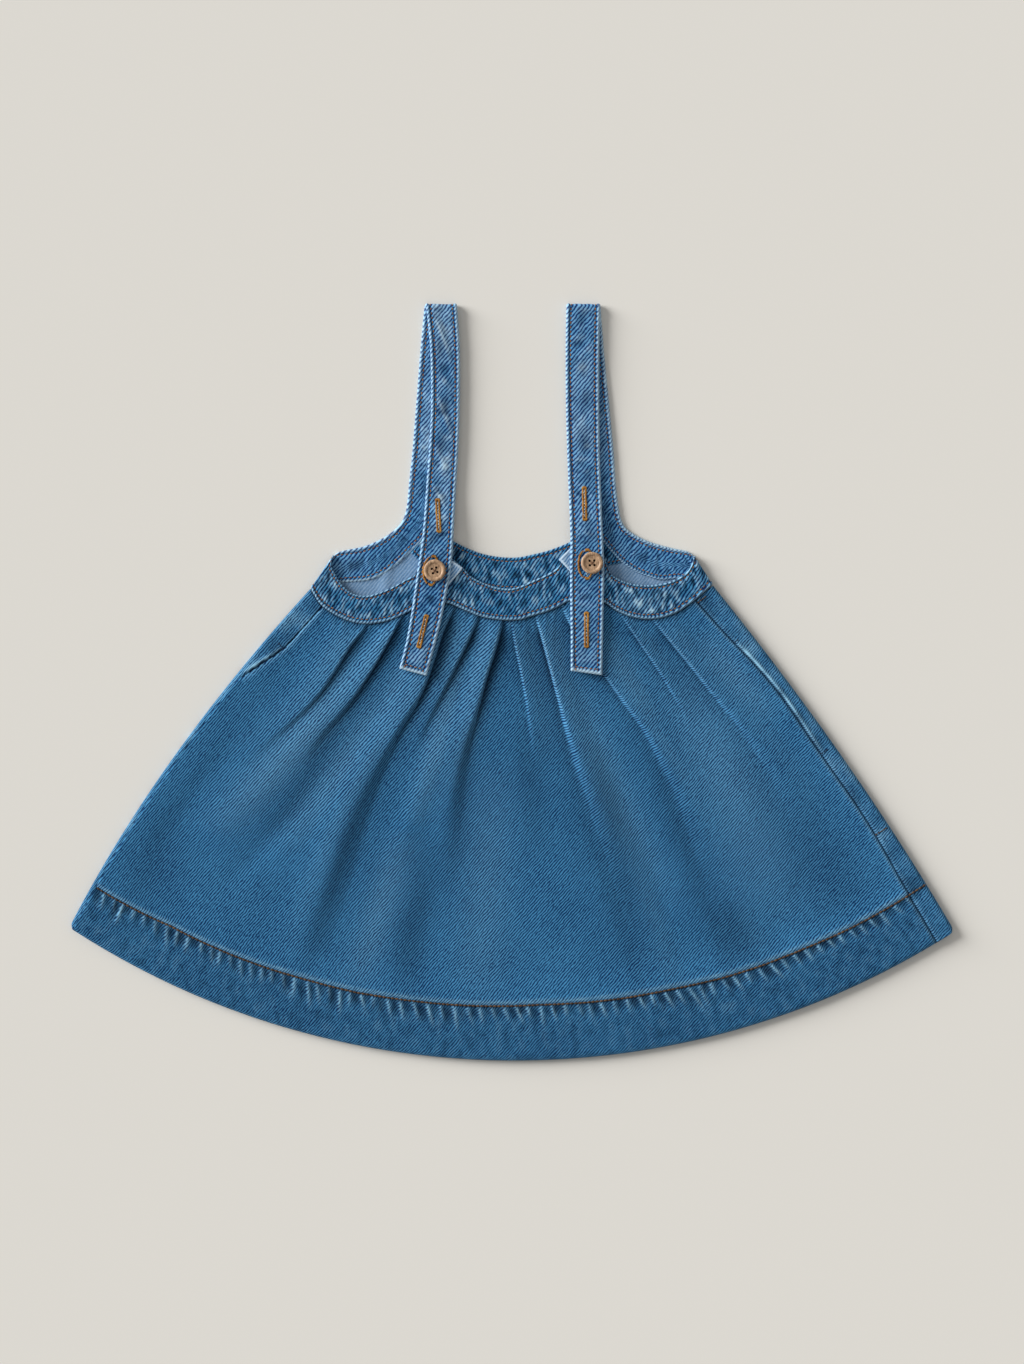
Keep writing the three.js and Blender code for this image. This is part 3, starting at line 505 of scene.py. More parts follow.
@lru_cache(maxsize=None)
def lines_at(kind, down):
    """The soft folds ("fold") or the painted light and fading ("light_and_fading") that cross one
    row: the middle of each, the width there, its strength and its half width."""
    table, power = (SOFT_FOLDS, 1) if kind == "fold" else (PAINTED_LIGHT_AND_FADING, 0.7)
    found = []
    for from_across, from_down, to_across, to_down, strength, width in table:
        u = (down - from_down) / (to_down - from_down)
        if 0 < u < 1:
            middle = lerp(from_across, to_across, u)
            strength *= math.sin(math.pi * u) ** power
            found.append((middle, width_at(middle, down), strength, width))
    return found


def skirt_relief(across, down):
    """Height of the pleats and folds, and the cloth's fading by wear and painted highlights and its
    darkening by painted shade and darker dye there.
    """
    height = 0.0
    worn_and_lit = 0.0
    shade = 0.0
    soften = 9 * smoothstep(down, 0.12, 0.7)
    crisp = 1 - smoothstep(down, 0.05, 0.4)
    for edge, scale, raised, rise, width, groove, strength in pleats_at(down):
        if strength <= 0:
            continue
        half = PLEAT_EDGE + soften
        distance = (across - edge) * scale * raised
        if distance > width + half or distance < -60:
            continue
        if distance > half:
            share = rise * 0.5 * (1 + math.cos(math.pi * (distance - half) / width))
        elif distance > -half:
            u = (distance + half) / (2 * half)
            share = lerp(-groove, rise, u * u * (3 - 2 * u))
        else:
            share = -groove * math.exp((distance + half) / 9)
        height += share * strength
        weight = min(1.0, strength * rise / 2.6)
        # Painted highlight along each pleat's edge, stronger where the edge faces the light, and a
        # broad painted highlight over the raised cloth
        if distance > -0.4 - soften * 0.4:
            lit = 0.6 if raised > 0 else 0.5
            worn_and_lit = max(worn_and_lit, lit * crisp * weight * bell(distance - 0.9, 1.2))
            worn_and_lit = max(worn_and_lit, 0.2 * weight * bell(distance - 7 - soften, 8))
        else:
            # Painted shade in the groove beside each edge, strongest where the edge faces away from
            # the light: dark close to it, then broad and soft
            away = -(distance + 0.4 + soften * 0.4)
            near = (1.2 if raised < 0 else 0.9) * crisp * math.exp(-away / (0.9 + rise * 0.45))
            wide = 0.5 * math.exp(-away / (5 + 2.5 * rise))
            shade = max(shade, min(1.0, weight * (near + wide)))
    for middle, scale, rise, width in lines_at("fold", down):
        height += rise * bell((across - middle) * scale, width)
    # Painted highlights and painted shade of the soft folds, with the cloth's faded and dark areas
    # from washing
    for middle, scale, tone, width in lines_at("light_and_fading", down):
        share = abs(tone) * bell((across - middle) * scale, width)
        if tone > 0:
            worn_and_lit = max(worn_and_lit, 0.9 * share)
        else:
            shade = min(1.0, shade + share * (1 - shade))
    for side in SIDES:
        start, stop = POCKETS[side]
        u = (down - start) / (stop - start)
        if 0 < u < 1:
            scale = width_at(side_end(side)[0], down)
            distance = abs(across - side_seam(side, down)) * scale
            lip = POCKET_LIP * math.sqrt(math.sin(math.pi * u))
            height += lip * math.exp(-distance / POCKET_LIP_WIDTH)
    return height, worn_and_lit, shade


@lru_cache(maxsize=None)
def cloth_thickness(down):
    return lerp(CLOTH, DOUBLE_CLOTH, smoothstep(down, HEM_FOLD - 0.02, HEM_FOLD))


def front_height(across, down):
    middle = (
        PANEL_HEIGHT
        + (WAIST_HEIGHT - PANEL_HEIGHT) * (1 - smoothstep(down, 0, 0.08))
        + (HEM_HEIGHT - PANEL_HEIGHT) * smoothstep(down, 0.8, HEM_FOLD)
    )
    to_side = min(across, 1 - across) * width_at(across, down)
    base = lerp(SIDE_HEIGHT, middle, smoothstep(to_side, 2, SIDE_EASE))
    calm = smoothstep(to_side, 4, 26) * (1 - smoothstep(down, 0.8, 1.0) * 0.85)
    height, worn_and_lit, shade = skirt_relief(across, down)
    calm = max(calm, 0.15)
    lowest = 2 * cloth_thickness(down) + LAY_GAP
    return max(lowest, base + height * calm), worn_and_lit * calm, shade * calm


# Making meshes

def add_object(name, data):
    found = bpy.data.objects.new(name, data)
    bpy.context.scene.collection.objects.link(found)
    return found


def mesh_object(name, bm, materials=()):
    mesh = bpy.data.meshes.new(name)
    bm.to_mesh(mesh)
    bm.free()
    for material in materials:
        mesh.materials.append(material)
    return add_object(name, mesh)


def finish_mesh(name, bm, replaces, materials):
    """Turn a mesh in millimetres into the finished piece in metres."""
    bmesh.ops.scale(bm, vec=(MM, MM, MM), verts=bm.verts)
    for face in bm.faces:
        face.smooth = True
    piece = mesh_object(name, bm, materials)
    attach(piece, "root")
    if replaces:
        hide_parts(*replaces)
    return piece


def cloth_grid(lines, rows, place, hem_row=math.inf):
    """A grid of cloth. place(row, line) gives each point, its place in the weave, its fading by
    wear and painted highlights, and its darkening by painted shade and darker dye."""
    bm = bmesh.new()
    bmesh.ops.create_grid(bm, x_segments=lines - 1, y_segments=rows - 1, size=0.5)
    weave = bm.loops.layers.uv.new("cloth")
    worn_and_lit_layer = bm.verts.layers.float.new("worn_and_lit")
    shade_layer = bm.verts.layers.float.new("shade")
    doubled = bm.verts.layers.float.new("doubled")
    places = {}
    for vert in bm.verts:
        line = round((vert.co.x + 0.5) * (lines - 1))
        row = round((vert.co.y + 0.5) * (rows - 1))
        point, uv, worn_and_lit, shade = place(row, line)
        vert.co = point
        vert[worn_and_lit_layer] = worn_and_lit
        vert[shade_layer] = shade
        vert[doubled] = float(row >= hem_row)
        places[vert] = uv
    for face in bm.faces:
        for loop in face.loops:
            loop[weave].uv = places[loop.vert]
    return bm


def thicken(piece, thickness, double_rows=None):
    """Give a sheet its thickness on the side away from its outside, more where it is doubled."""
    wall = piece.modifiers.new("cloth thickness", "SOLIDIFY")
    wall.thickness = thickness * MM
    wall.offset = -1
    if double_rows:
        group = piece.vertex_groups.new(name="doubled")
        group.add(double_rows, 1.0, "REPLACE")
        wall.thickness = DOUBLE_CLOTH * MM
        wall.vertex_group = group.name
        wall.thickness_vertex_group = thickness / DOUBLE_CLOTH
    wall.material_offset = 1
    wall.material_offset_rim = 0


# Lines of a strip in section: their distances from each edge, and how many lie between
EDGE_INSETS = (0.9, 1.3, 1.8, 2.3, 2.8, 3.1, 3.4, 3.8, 4.6)
MIDDLE_LINES = 8
# Distance of the side folds from the middle, at the bands
FOLD_X = 137.0


def doubled_points(piece):
    """The points of a skirt panel that lie below its hem's stitches."""
    lowest = piece.data.attributes["doubled"].data
    return [k for k, value in enumerate(lowest) if value.value > 0.5]


def strip_section(width):
    """Points round a strip in section: distance from its first edge, and side (1 face, -1 back,
    between them round the edges)."""
    middle = [
        lerp(EDGE_INSETS[-1], width - EDGE_INSETS[-1], k / (MIDDLE_LINES + 1))
        for k in range(1, MIDDLE_LINES + 1)
    ]
    face = [*EDGE_INSETS, *middle, *[width - x for x in reversed(EDGE_INSETS)]]
    edge = EDGE_INSETS[0]
    turn = [math.radians(a) for a in (55, 20, -20, -55)]
    far = [(width - edge + edge * math.cos(a), math.sin(a)) for a in turn]
    near = [(edge - edge * math.cos(a), math.sin(a)) for a in reversed(turn)]
    back = [(x, -1) for x in reversed(face[::2])]
    return [*[(x, 1) for x in face], *far, *back, *near]


def strip_mesh(frames, relief):
    """A closed double strip of cloth. frames are lines across it, (first edge, second edge,
    normal, length so far); relief(s, x, width) gives height, fading by wear and painted highlights,
    and darkening by painted shade and darker dye. Its weave lies as it does on the floor, and keeps
    its pitch round the edges and folds."""
    half = DOUBLE_CLOTH / 2
    count = len(strip_section(20))
    sections = [strip_section((b - a).length) for a, b, *_ in frames]

    def place(row, line):
        a, b, normal, s = frames[row]
        width = (b - a).length
        x, side = sections[row][line % count]
        height, worn_and_lit, shade = relief(s, x, width)
        share = height if abs(side) == 1 else height * 0.4
        point = a.lerp(b, x / width) + normal * (side * (half + share))
        point.z = max(point.z, 0.0)
        outwards = (a - b) / width * (1 if x < width / 2 else -1)
        woven = point + outwards * (1 - side) * half
        place_x = woven.x - point.z * woven.x / FOLD_X
        return point, (place_x, woven.y + point.z), worn_and_lit, shade

    bm = cloth_grid(count + 1, len(frames), place)
    bmesh.ops.remove_doubles(bm, verts=bm.verts, dist=1e-4)
    bmesh.ops.holes_fill(bm, edges=[e for e in bm.edges if e.is_boundary], sides=0)
    bmesh.ops.recalc_face_normals(bm, faces=bm.faces)
    return bm


def streaks(s, x, seed, long=4.6, wide=11.0):
    """Uneven puckers across a sewn strip, from -1 to 1."""
    first = noise_at(s / long + x * 0.045, x / wide, seed)
    second = noise_at(s / (long * 0.45) - x * 0.05, x / (wide * 0.6), seed + 9)
    return max(-1.0, min(1.0, 1.7 * first + 0.7 * second))


def creases_at(side, down, x):
    """Height, wear and shade of the creases and dark patches at a place on a front leg."""
    height, worn_and_lit, shade = 0.0, 0.0, 0.0
    for from_down, from_x, to_down, to_x, strength in STRAP_CREASES[side]:
        run_down, run_x = to_down - from_down, to_x - from_x
        run = math.hypot(run_down, run_x)
        past_down, past_x = down - from_down, x - from_x
        u = (past_down * run_down + past_x * run_x) / run**2
        beside = (past_x * run_down - past_down * run_x) / run
        share = strength * bell(u - 0.5, 0.5)
        height += share * (0.5 * bell(beside, 1.3) - 0.3 * bell(beside - 3.2, 2.0))
        worn_and_lit += 0.5 * share * bell(beside, 1.2)
        # Painted shade in the trough beside each crease
        shade = max(shade, 0.5 * share * bell(beside - 2.6, 1.6))
    for middle, inset, half, strength in STRAP_PATCHES[side]:
        shade = max(shade, 1.15 * strength * bell(down - middle, half) * bell(x - inset, 4.0))
    return height, worn_and_lit, shade


# Length of a strap's free end that is turned in
FREE_END = 30


def strap_relief(side, seed, creased, fold, end):
    """Relief of a strap, whose free end is turned in and thick."""

    def relief(s, x, width):
        nearest = min(x, width - x)
        to_end = end - s
        if to_end < FREE_END:
            nearest = min(nearest, max(0.0, to_end - 0.3))
        height = 0.4 * math.sin(math.pi * min(1.0, max(0.0, nearest - 0.1) / 2.6))
        height -= 0.34 * bell(nearest - 2.9, 0.7)
        pucker = streaks(s, x, seed, long=3.0, wide=8.0)
        crease = noise_at(s / 9 + x / 11, x / 26, seed + 5)
        ripple = noise_at(s / 2.1, 0.0, seed + 7)
        inside = smoothstep(nearest, 3.2, 5.2)
        crease_height, crease_worn, crease_shade = creases_at(side, s - fold, x)
        height += inside * (0.16 * pucker + 0.25 * creased * crease + crease_height) + 0.1 * pucker
        broad = noise_at(s / 30, x / 26, seed + 3)
        # The edge away from the light is painted paler than the lit edge: painted light over the
        # edges' real wear
        lit = (x < width / 2) == (side == "left")
        worn_and_lit = ((0.58 if lit else 0.78) + 0.26 * ripple) * (1 - smoothstep(nearest, 1.5, 2.4))
        worn_and_lit = max(worn_and_lit, 0.34 * bell(nearest - 4.0, 0.7) * max(0.0, ripple + 0.2))
        pale = 0.2 + 0.34 * max(0.0, pucker) + 0.26 * max(0.0, crease) * creased + crease_worn
        facing = 1 - smoothstep(s, 75, 125)
        low = 1 - smoothstep(to_end, 62, 110)
        worn_and_lit = max(worn_and_lit, inside * (pale + 0.3 * creased * broad) * (1 - 0.6 * facing - 0.4 * low))
        # Painted shade in the groove at the stitches
        shade = 0.55 * bell(nearest - 2.5, 0.6)
        # Painted shade in the puckers' and creases' hollows, with broad darker patches of the cloth
        dark = max(0.0, -0.6 * pucker - 0.2 * broad) + 0.4 * max(0.0, -crease) * creased
        dark = max(dark, crease_shade)
        shade = max(shade, inside * (dark + 0.16 * facing + 0.12 * low))
        if to_end < FREE_END:
            worn_and_lit = max(worn_and_lit, 0.34 * bell(to_end - 10, 4.5) * inside)
            worn_and_lit = max(worn_and_lit, 0.85 * (1 - smoothstep(to_end, 1.6, 2.8)))
        return height, min(1.0, max(0.0, worn_and_lit)), min(1.0, shade)

    return relief


# Vertices in a short run of stitches, because a long mesh is slow to add to
RUN_LIMIT = 1200


def add_stitch(bm, place, x, y, z, segments=(6, 4)):
    """One stitch: a ball drawn out to the half sizes x, y and z at a place."""
    around, rings = segments
    matrix = place @ Matrix.Diagonal((x, y, z, 1))
    bmesh.ops.create_uvsphere(bm, u_segments=around, v_segments=rings, radius=1, matrix=matrix)


def stitch_row(bm, points, normals, length=STITCH_LENGTH, pitch=STITCH_PITCH, width=STITCH_WIDTH):
    """Lay stitches along a path of points, half sunk in the cloth."""
    travelled = 0.0
    due = pitch * 0.5
    run = bmesh.new()
    for k in range(len(points) - 1):
        a, b = points[k], points[k + 1]
        gap = (b - a).length
        while gap > 0 and travelled + gap >= due:
            u = (due - travelled) / gap
            centre = a.lerp(b, u)
            normal = normals[k].lerp(normals[k + 1], u).normalized()
            along = (b - a).normalized()
            across = normal.cross(along).normalized()
            turn = Matrix((along, across, normal)).transposed().to_4x4()
            place = Matrix.Translation(centre) @ turn
            add_stitch(run, place, length / 2, width / 2, width * 0.42)
            if len(run.verts) > RUN_LIMIT:
                run = join_run(bm, run)
            due += pitch
        travelled += gap
    join_run(bm, run).free()


def join_run(bm, run):
    """Join a short run of stitches on to the rest and start a new one."""
    mesh = bpy.data.meshes.new("run")
    run.to_mesh(mesh)
    run.free()
    bm.from_mesh(mesh)
    bpy.data.meshes.remove(mesh)
    return bmesh.new()


def strip_path(frames, relief, inset, from_second=False, side=1, start=0, stop=None):
    """Points along a strip's face at a distance from one edge, and the face's normals."""
    points, normals = [], []
    for a, b, normal, s in frames[start:stop]:
        width = (b - a).length
        x = width - inset if from_second else inset
        height = relief(s, x, width)[0]
        points.append(a.lerp(b, x / width) + normal * side * (DOUBLE_CLOTH / 2 + height + SEATED))
        normals.append(normal * side)
    return points, normals


# Frames of the strips: lines across each, with the direction that its face looks in

def lengths(frames):
    """Add the length travelled so far along the middle of a strip to its frames."""
    done, s, last = [], 0.0, None
    for a, b, normal in frames:
        middle = (a + b) / 2
        if last is not None:
            s += (middle - last).length
        last = middle
        done.append((a, b, normal, s))
    return done


UP = Vector((0, 0, 1))
FOLD_STEPS = 10


def line_at(row, z, normal):
    """The frame of a row of a table, laid level at a height."""
    return Vector((row[0], row[1], z)), Vector((row[2], row[3], z)), normal


def band_frames():
    rows = refine(FRONT_BAND, 7)
    middle_radius = (BAND_HEIGHT - DOUBLE_CLOTH) / 2
    centre_z = BAND_HEIGHT / 2

    def fold(edge, following):
        """From underneath, round the side fold and up, at one end of the band."""
        ends = line_at(edge, 0, UP)[:2]
        inwards = [(b - a).normalized() for a, b in zip(ends, line_at(following, 0, UP))]
        shared = (inwards[0] + inwards[1]).normalized()
        found = []
        for k in range(FOLD_STEPS + 1):
            angle = -math.pi / 2 + math.pi * k / FOLD_STEPS
            reach = BAND_HEIGHT / 2 - middle_radius * math.cos(angle)
            z = centre_z + middle_radius * math.sin(angle)
            a, b = (end + way * reach for end, way in zip(ends, inwards))
            a.z = b.z = z
            found.append((a, b, -shared * math.cos(angle) + UP * math.sin(angle)))
        return found

    top_z = BAND_HEIGHT - DOUBLE_CLOTH / 2
    top = [line_at(row, top_z, UP) for row in rows[4:-4]]
    left = fold(rows[0], rows[4])
    right = fold(rows[-1], rows[-5])
    return lengths([*left, *top, *reversed(right)])


def back_band_frames():
    return lengths([line_at(row, DOUBLE_CLOTH / 2, UP) for row in refine(BACK_BAND_ROWS, 7)])


def strap_rise(row):
    """The height of a front leg's underside, which clears the skirt wherever it lies on it."""
    rise = row[4]
    if row[1] > max(WAIST_YS):
        return rise
    for v in (0, 0.25, 0.5, 0.75, 1):
        across, down = skirt_place(lerp(row[0], row[2], v), lerp(row[1], row[3], v))
        if down > 0:
            rise = max(rise, front_height(across, down)[0] + STRAP_CLEARANCE)
    return rise


CORNERS = {
    "left": [(-120.4, 86.3, -134.2, 65.2), (-118.4, 87.9, -133.0, 65.8)],
    "right": [(123.0, 86.1, 134.4, 66.9), (121.0, 87.8, 133.2, 67.4)],
}


def strap_frames(side):
    """Back leg from under the band's side corner, up and over the shoulder, and down in front."""
    half = DOUBLE_CLOTH / 2
    back_rows = refine([*CORNERS[side], *STRAP_BACKS[side]], 9)
    front_rows = refine(STRAP_FRONTS[side], 9)
    frames = [line_at(row, half, -UP) for row in back_rows]
    joint = len(frames)
    last, first = back_rows[-1], front_rows[0]
    centre_z = (first[4] + DOUBLE_CLOTH) / 2
    radius = centre_z - half
    for k in range(1, FOLD_STEPS):
        u = k / FOLD_STEPS
        angle = math.pi * u - math.pi / 2
        y = last[1] + radius * math.cos(angle)
        z = centre_z + radius * math.sin(angle)
        normal = Vector((0, math.cos(angle), math.sin(angle)))
        a = Vector((lerp(last[0], first[0], u), y, z))
        b = Vector((lerp(last[2], first[2], u), y, z))
        frames.append((a, b, normal))
    front_start = len(frames)
    rises = [strap_rise(row) for row in front_rows]
    for k, row in enumerate(front_rows):
        near = rises[max(0, k - 3) : k + 4]
        z = max(rises[k], sum(near) / len(near)) + half
        frames.append(line_at(row, z, UP))
    return lengths(frames), joint, front_start


# Materials

def linear(colour):
    """A colour of 0 to 255 values as the linear light that the shaders take."""
    shares = (value / 255 for value in colour)
    light = [c / 12.92 if c <= 0.04045 else ((c + 0.055) / 1.055) ** 2.4 for c in shares]
    return (*light, 1.0)


def new_group(name, inputs, outputs):
    group = bpy.data.node_groups.new(name, "ShaderNodeTree")
    for socket_name, kind, default in inputs:
        socket = group.interface.new_socket(socket_name, in_out="INPUT", socket_type=kind)
        if default is not None:
            socket.default_value = default
    for socket_name, kind in outputs:
        group.interface.new_socket(socket_name, in_out="OUTPUT", socket_type=kind)
    entry = group.nodes.new("NodeGroupInput")
    leave = group.nodes.new("NodeGroupOutput")
    return group, entry, leave


class Wires:
    """Short calls that add a node, fill in its inputs and give back its output."""

    def __init__(self, tree):
        self.tree = tree

    def put(self, socket, value):
        if isinstance(value, bpy.types.NodeSocket):
            self.tree.links.new(value, socket)
        else:
            socket.default_value = value

    def add(self, a, b, clamp=False):
        return self.math("ADD", a, b, clamp)

    def less(self, a, b, clamp=False):
        return self.math("SUBTRACT", a, b, clamp)

    def times(self, a, b, clamp=False):
        return self.math("MULTIPLY", a, b, clamp)

    def math(self, operation, a, b=None, clamp=False):
        node = self.tree.nodes.new("ShaderNodeMath")
        node.operation = operation
        node.use_clamp = clamp
        self.put(node.inputs[0], a)
        if b is not None:
            self.put(node.inputs[1], b)
        return node.outputs[0]

    def mix(self, factor, a, b):
        node = self.tree.nodes.new("ShaderNodeMix")
        node.data_type = "RGBA"
        self.put(node.inputs["Factor"], factor)
        self.put(node.inputs[6], a)
        self.put(node.inputs[7], b)
        return node.outputs[2]

    def vector(self, operation, a, b, output):
        node = self.tree.nodes.new("ShaderNodeVectorMath")
        node.operation = operation
        self.put(node.inputs[0], a)
        self.put(node.inputs[1], b)
        return node.outputs[output]

    def combine(self, x, y):
        node = self.tree.nodes.new("ShaderNodeCombineXYZ")
        self.put(node.inputs["X"], x)
        self.put(node.inputs["Y"], y)
        return node.outputs["Vector"]

    def noise(self, vector, scale, detail=2.0, roughness=0.5):
        node = self.tree.nodes.new("ShaderNodeTexNoise")
        self.put(node.inputs["Vector"], vector)
        node.inputs["Scale"].default_value = scale
        node.inputs["Detail"].default_value = detail
        node.inputs["Roughness"].default_value = roughness
        return node.outputs["Fac"]

    def attribute(self, name):
        node = self.tree.nodes.new("ShaderNodeAttribute")
        node.attribute_name = name
        return node.outputs["Fac"]


def twill_group():
    """Denim: a diagonal twill of dyed and bare threads, fading to pale with wear and with painted
    highlights, and mixed towards the deep tone as painted shade.
    """
    group, entry, leave = new_group(
        "twill weave",
        [
            ("Place", "NodeSocketVector", None),
            ("Across Twill", "NodeSocketVector", None),
            ("Along Twill", "NodeSocketVector", None),
            ("Worn And Lit", "NodeSocketFloat", 0.0),
            ("Shade", "NodeSocketFloat", 0.0),
            ("Contrast", "NodeSocketFloat", 1.0),
            ("Pitch", "NodeSocketFloat", 1.6),
            ("Dark", "NodeSocketColor", None),
            ("Light", "NodeSocketColor", None),
            ("Pale", "NodeSocketColor", None),
            ("Deep", "NodeSocketColor", None),
        ],
        [("Color", "NodeSocketColor"), ("Height", "NodeSocketFloat")],
    )
    w = Wires(group)
    given = entry.outputs
    place, worn_and_lit = given["Place"], given["Worn And Lit"]
    across = w.vector("DOT_PRODUCT", place, given["Across Twill"], "Value")
    along = w.vector("DOT_PRODUCT", place, given["Along Twill"], "Value")
    drifted = w.add(across, w.times(w.noise(place, 0.2, 2.0), 1.6))
    turns = w.math("DIVIDE", drifted, given["Pitch"])
    line = w.math("SINE", w.times(turns, 2 * math.pi))
    lengthwise = w.combine(w.times(along, 0.42), across)
    fleck = w.noise(lengthwise, 1.0, 3.0, 0.7)
    grain = w.noise(lengthwise, 0.36, 2.0, 0.6)
    mottle = w.noise(place, 0.1, 3.0, 0.6)
    cloud = w.noise(place, 0.02, 2.0)
    tone = w.times(line, w.times(w.add(0.3, fleck), 0.75))
    for field, amount in ((fleck, 2.7), (grain, 0.55)):
        tone = w.add(tone, w.times(w.less(field, 0.5), amount))
    tone = w.times(tone, given["Contrast"])
    for field, amount in ((mottle, 0.35), (cloud, 0.5)):
        tone = w.add(tone, w.times(w.less(field, 0.5), amount))
    tone = w.add(tone, 0.5, clamp=True)
    dyed = w.mix(tone, given["Dark"], given["Light"])
    ridge = w.times(w.add(line, 1.0), 0.5)
    thread_end = w.times(w.less(fleck, 0.32), 2.8, clamp=True)
    grip = w.add(w.times(ridge, 0.95), w.times(thread_end, 0.5))
    grip = w.less(grip, 0.25, clamp=True)
    strong = w.math("POWER", worn_and_lit, 4.0)
    grip = w.add(w.times(grip, w.less(1.0, strong)), strong)
    fade = w.times(worn_and_lit, grip, clamp=True)
    faded = w.mix(fade, dyed, given["Pale"])
    # Painted shade, with some darker dye: the colour is mixed towards the deep tone by the shade
    # attribute
    depth = w.times(given["Shade"], 0.85, clamp=True)
    group.links.new(w.mix(depth, faded, given["Deep"]), leave.inputs["Color"])
    height = w.add(w.times(ridge, 0.6), w.times(fleck, 0.9))
    group.links.new(height, leave.inputs["Height"])
    return group


TWILL = twill_group()


def add_bump(tree, shader, height, strength, depth):
    """Small relief of a surface, its depth in millimetres."""
    relief = tree.nodes.new("ShaderNodeBump")
    relief.inputs["Strength"].default_value = strength
    relief.inputs["Distance"].default_value = depth * MM
    tree.links.new(height, relief.inputs["Height"])
    tree.links.new(relief.outputs["Normal"], shader.inputs["Normal"])


def surface(name, roughness, sheen=0.0, specular=0.25):
    material = bpy.data.materials.new(name)
    material.use_nodes = True
    tree = material.node_tree
    shader = tree.nodes["Principled BSDF"]
    shader.inputs["Roughness"].default_value = roughness
    shader.inputs["Specular IOR Level"].default_value = specular
    shader.inputs["Sheen Weight"].default_value = sheen
    shader.inputs["Sheen Roughness"].default_value = 0.5
    return material, tree, shader


def denim(name, dark, light, pale, deep, twill_angle, contrast, pitch):
    """Denim in four tones, with its twill at an angle in degrees and a pitch in millimetres. The
    deep tone is painted shade, and the pale tone is wear and painted highlights.
    """
    material, tree, shader = surface(name, 0.88, sheen=0.02, specular=0.08)
    w = Wires(tree)
    uv = tree.nodes.new("ShaderNodeUVMap")
    uv.uv_map = "cloth"
    weave = tree.nodes.new("ShaderNodeGroup")
    weave.node_tree = TWILL
    angle = math.radians(twill_angle)
    w.put(weave.inputs["Place"], uv.outputs["UV"])
    w.put(weave.inputs["Across Twill"], (-math.sin(angle), math.cos(angle), 0.0))
    w.put(weave.inputs["Along Twill"], (math.cos(angle), math.sin(angle), 0.0))
    w.put(weave.inputs["Worn And Lit"], w.attribute("worn_and_lit"))
    w.put(weave.inputs["Shade"], w.attribute("shade"))
    w.put(weave.inputs["Contrast"], contrast)
    w.put(weave.inputs["Pitch"], pitch)
    for socket, colour in (("Dark", dark), ("Light", light), ("Pale", pale), ("Deep", deep)):
        w.put(weave.inputs[socket], linear(colour))
    tree.links.new(weave.outputs["Color"], shader.inputs["Base Color"])
    add_bump(tree, shader, weave.outputs["Height"], 0.35, 0.25)
    return material


def thread_group():
    """Cotton thread that runs from a dark to a light tone along a seam."""
    group, entry, leave = new_group(
        "thread tone",
        [("Dark", "NodeSocketColor", None), ("Light", "NodeSocketColor", None)],
        [("Color", "NodeSocketColor")],
    )
    w = Wires(group)
    place = group.nodes.new("ShaderNodeTexCoord").outputs["Object"]
    slow = w.noise(place, 160, 2.0)
    fine = w.noise(place, 1100, 2.0)
    both = w.add(w.times(slow, 1.3), w.times(fine, 1.2))
    spread = w.less(both, 0.75, clamp=True)
    tone = w.mix(spread, entry.outputs["Dark"], entry.outputs["Light"])
    group.links.new(tone, leave.inputs["Color"])
    return group


THREAD_TONE = thread_group()


def thread(name, dark, light):
    material, tree, shader = surface(name, 0.6, sheen=0.05)
    tone = tree.nodes.new("ShaderNodeGroup")
    tone.node_tree = THREAD_TONE
    tone.inputs["Dark"].default_value = linear(dark)
    tone.inputs["Light"].default_value = linear(light)
    tree.links.new(tone.outputs["Color"], shader.inputs["Base Color"])
    return material


def button_wood():
    """Turned wood: fine rings and streaks, darker in the pores, with a dull polish."""
    material, tree, shader = surface("button wood", 0.5, specular=0.35)
    w = Wires(tree)
    place = tree.nodes.new("ShaderNodeTexCoord").outputs["Object"]
    stretched = w.vector("MULTIPLY", place, (1.0, 0.28, 1.0), "Vector")
    grain = w.noise(stretched, 900, 4.0, 0.7)
    streak = w.times(w.less(grain, 0.29), 2.4, clamp=True)
    pores = w.noise(stretched, 4200, 2.0)
    base = w.mix(streak, linear((120, 90, 66)), linear((214, 178, 142)))
    speckle = w.math("MULTIPLY_ADD", pores, 3.0)
    speckle.node.inputs[2].default_value = -1.55
    speckle.node.use_clamp = True
    tree.links.new(w.mix(speckle, base, linear((96, 68, 48))), shader.inputs["Base Color"])
    add_bump(tree, shader, grain, 0.3, 0.1)
    return material


SKIRT_DENIM = denim(
    "skirt denim", (2, 40, 84), (70, 138, 184), (146, 198, 226), (1, 14, 36), 48, 1.15, 1.6
)
BAND_DENIM = denim(
    "band denim", (0, 38, 86), (68, 144, 192), (184, 220, 238), (0, 12, 32), 56, 2.1, 2.0
)
STRAP_DENIM = denim(
    "strap denim", (0, 50, 110), (84, 160, 212), (200, 228, 242), (0, 20, 54), 50, 2.2, 2.05
)
WRONG_SIDE = denim(
    "denim wrong side", (86, 124, 162), (146, 176, 206), (176, 200, 220), (30, 60, 96), 50, 0.5, 1.9
)
FLAP_DENIM = denim(
    "pale flap", (64, 112, 160), (132, 170, 202), (196, 216, 232), (30, 66, 106), 50, 1.0, 1.9
)
BROWN_THREAD = thread("brown topstitch", (66, 46, 34), (186, 122, 60))
HEM_THREAD = thread("hem thread", (20, 18, 20), (104, 76, 48))
NAVY_THREAD = thread("navy thread", (8, 24, 48), (30, 62, 100))
GOLD_THREAD = thread("golden thread", (112, 70, 20), (206, 146, 54))
BUTTON_THREAD = thread("button thread", (60, 38, 28), (136, 96, 68))
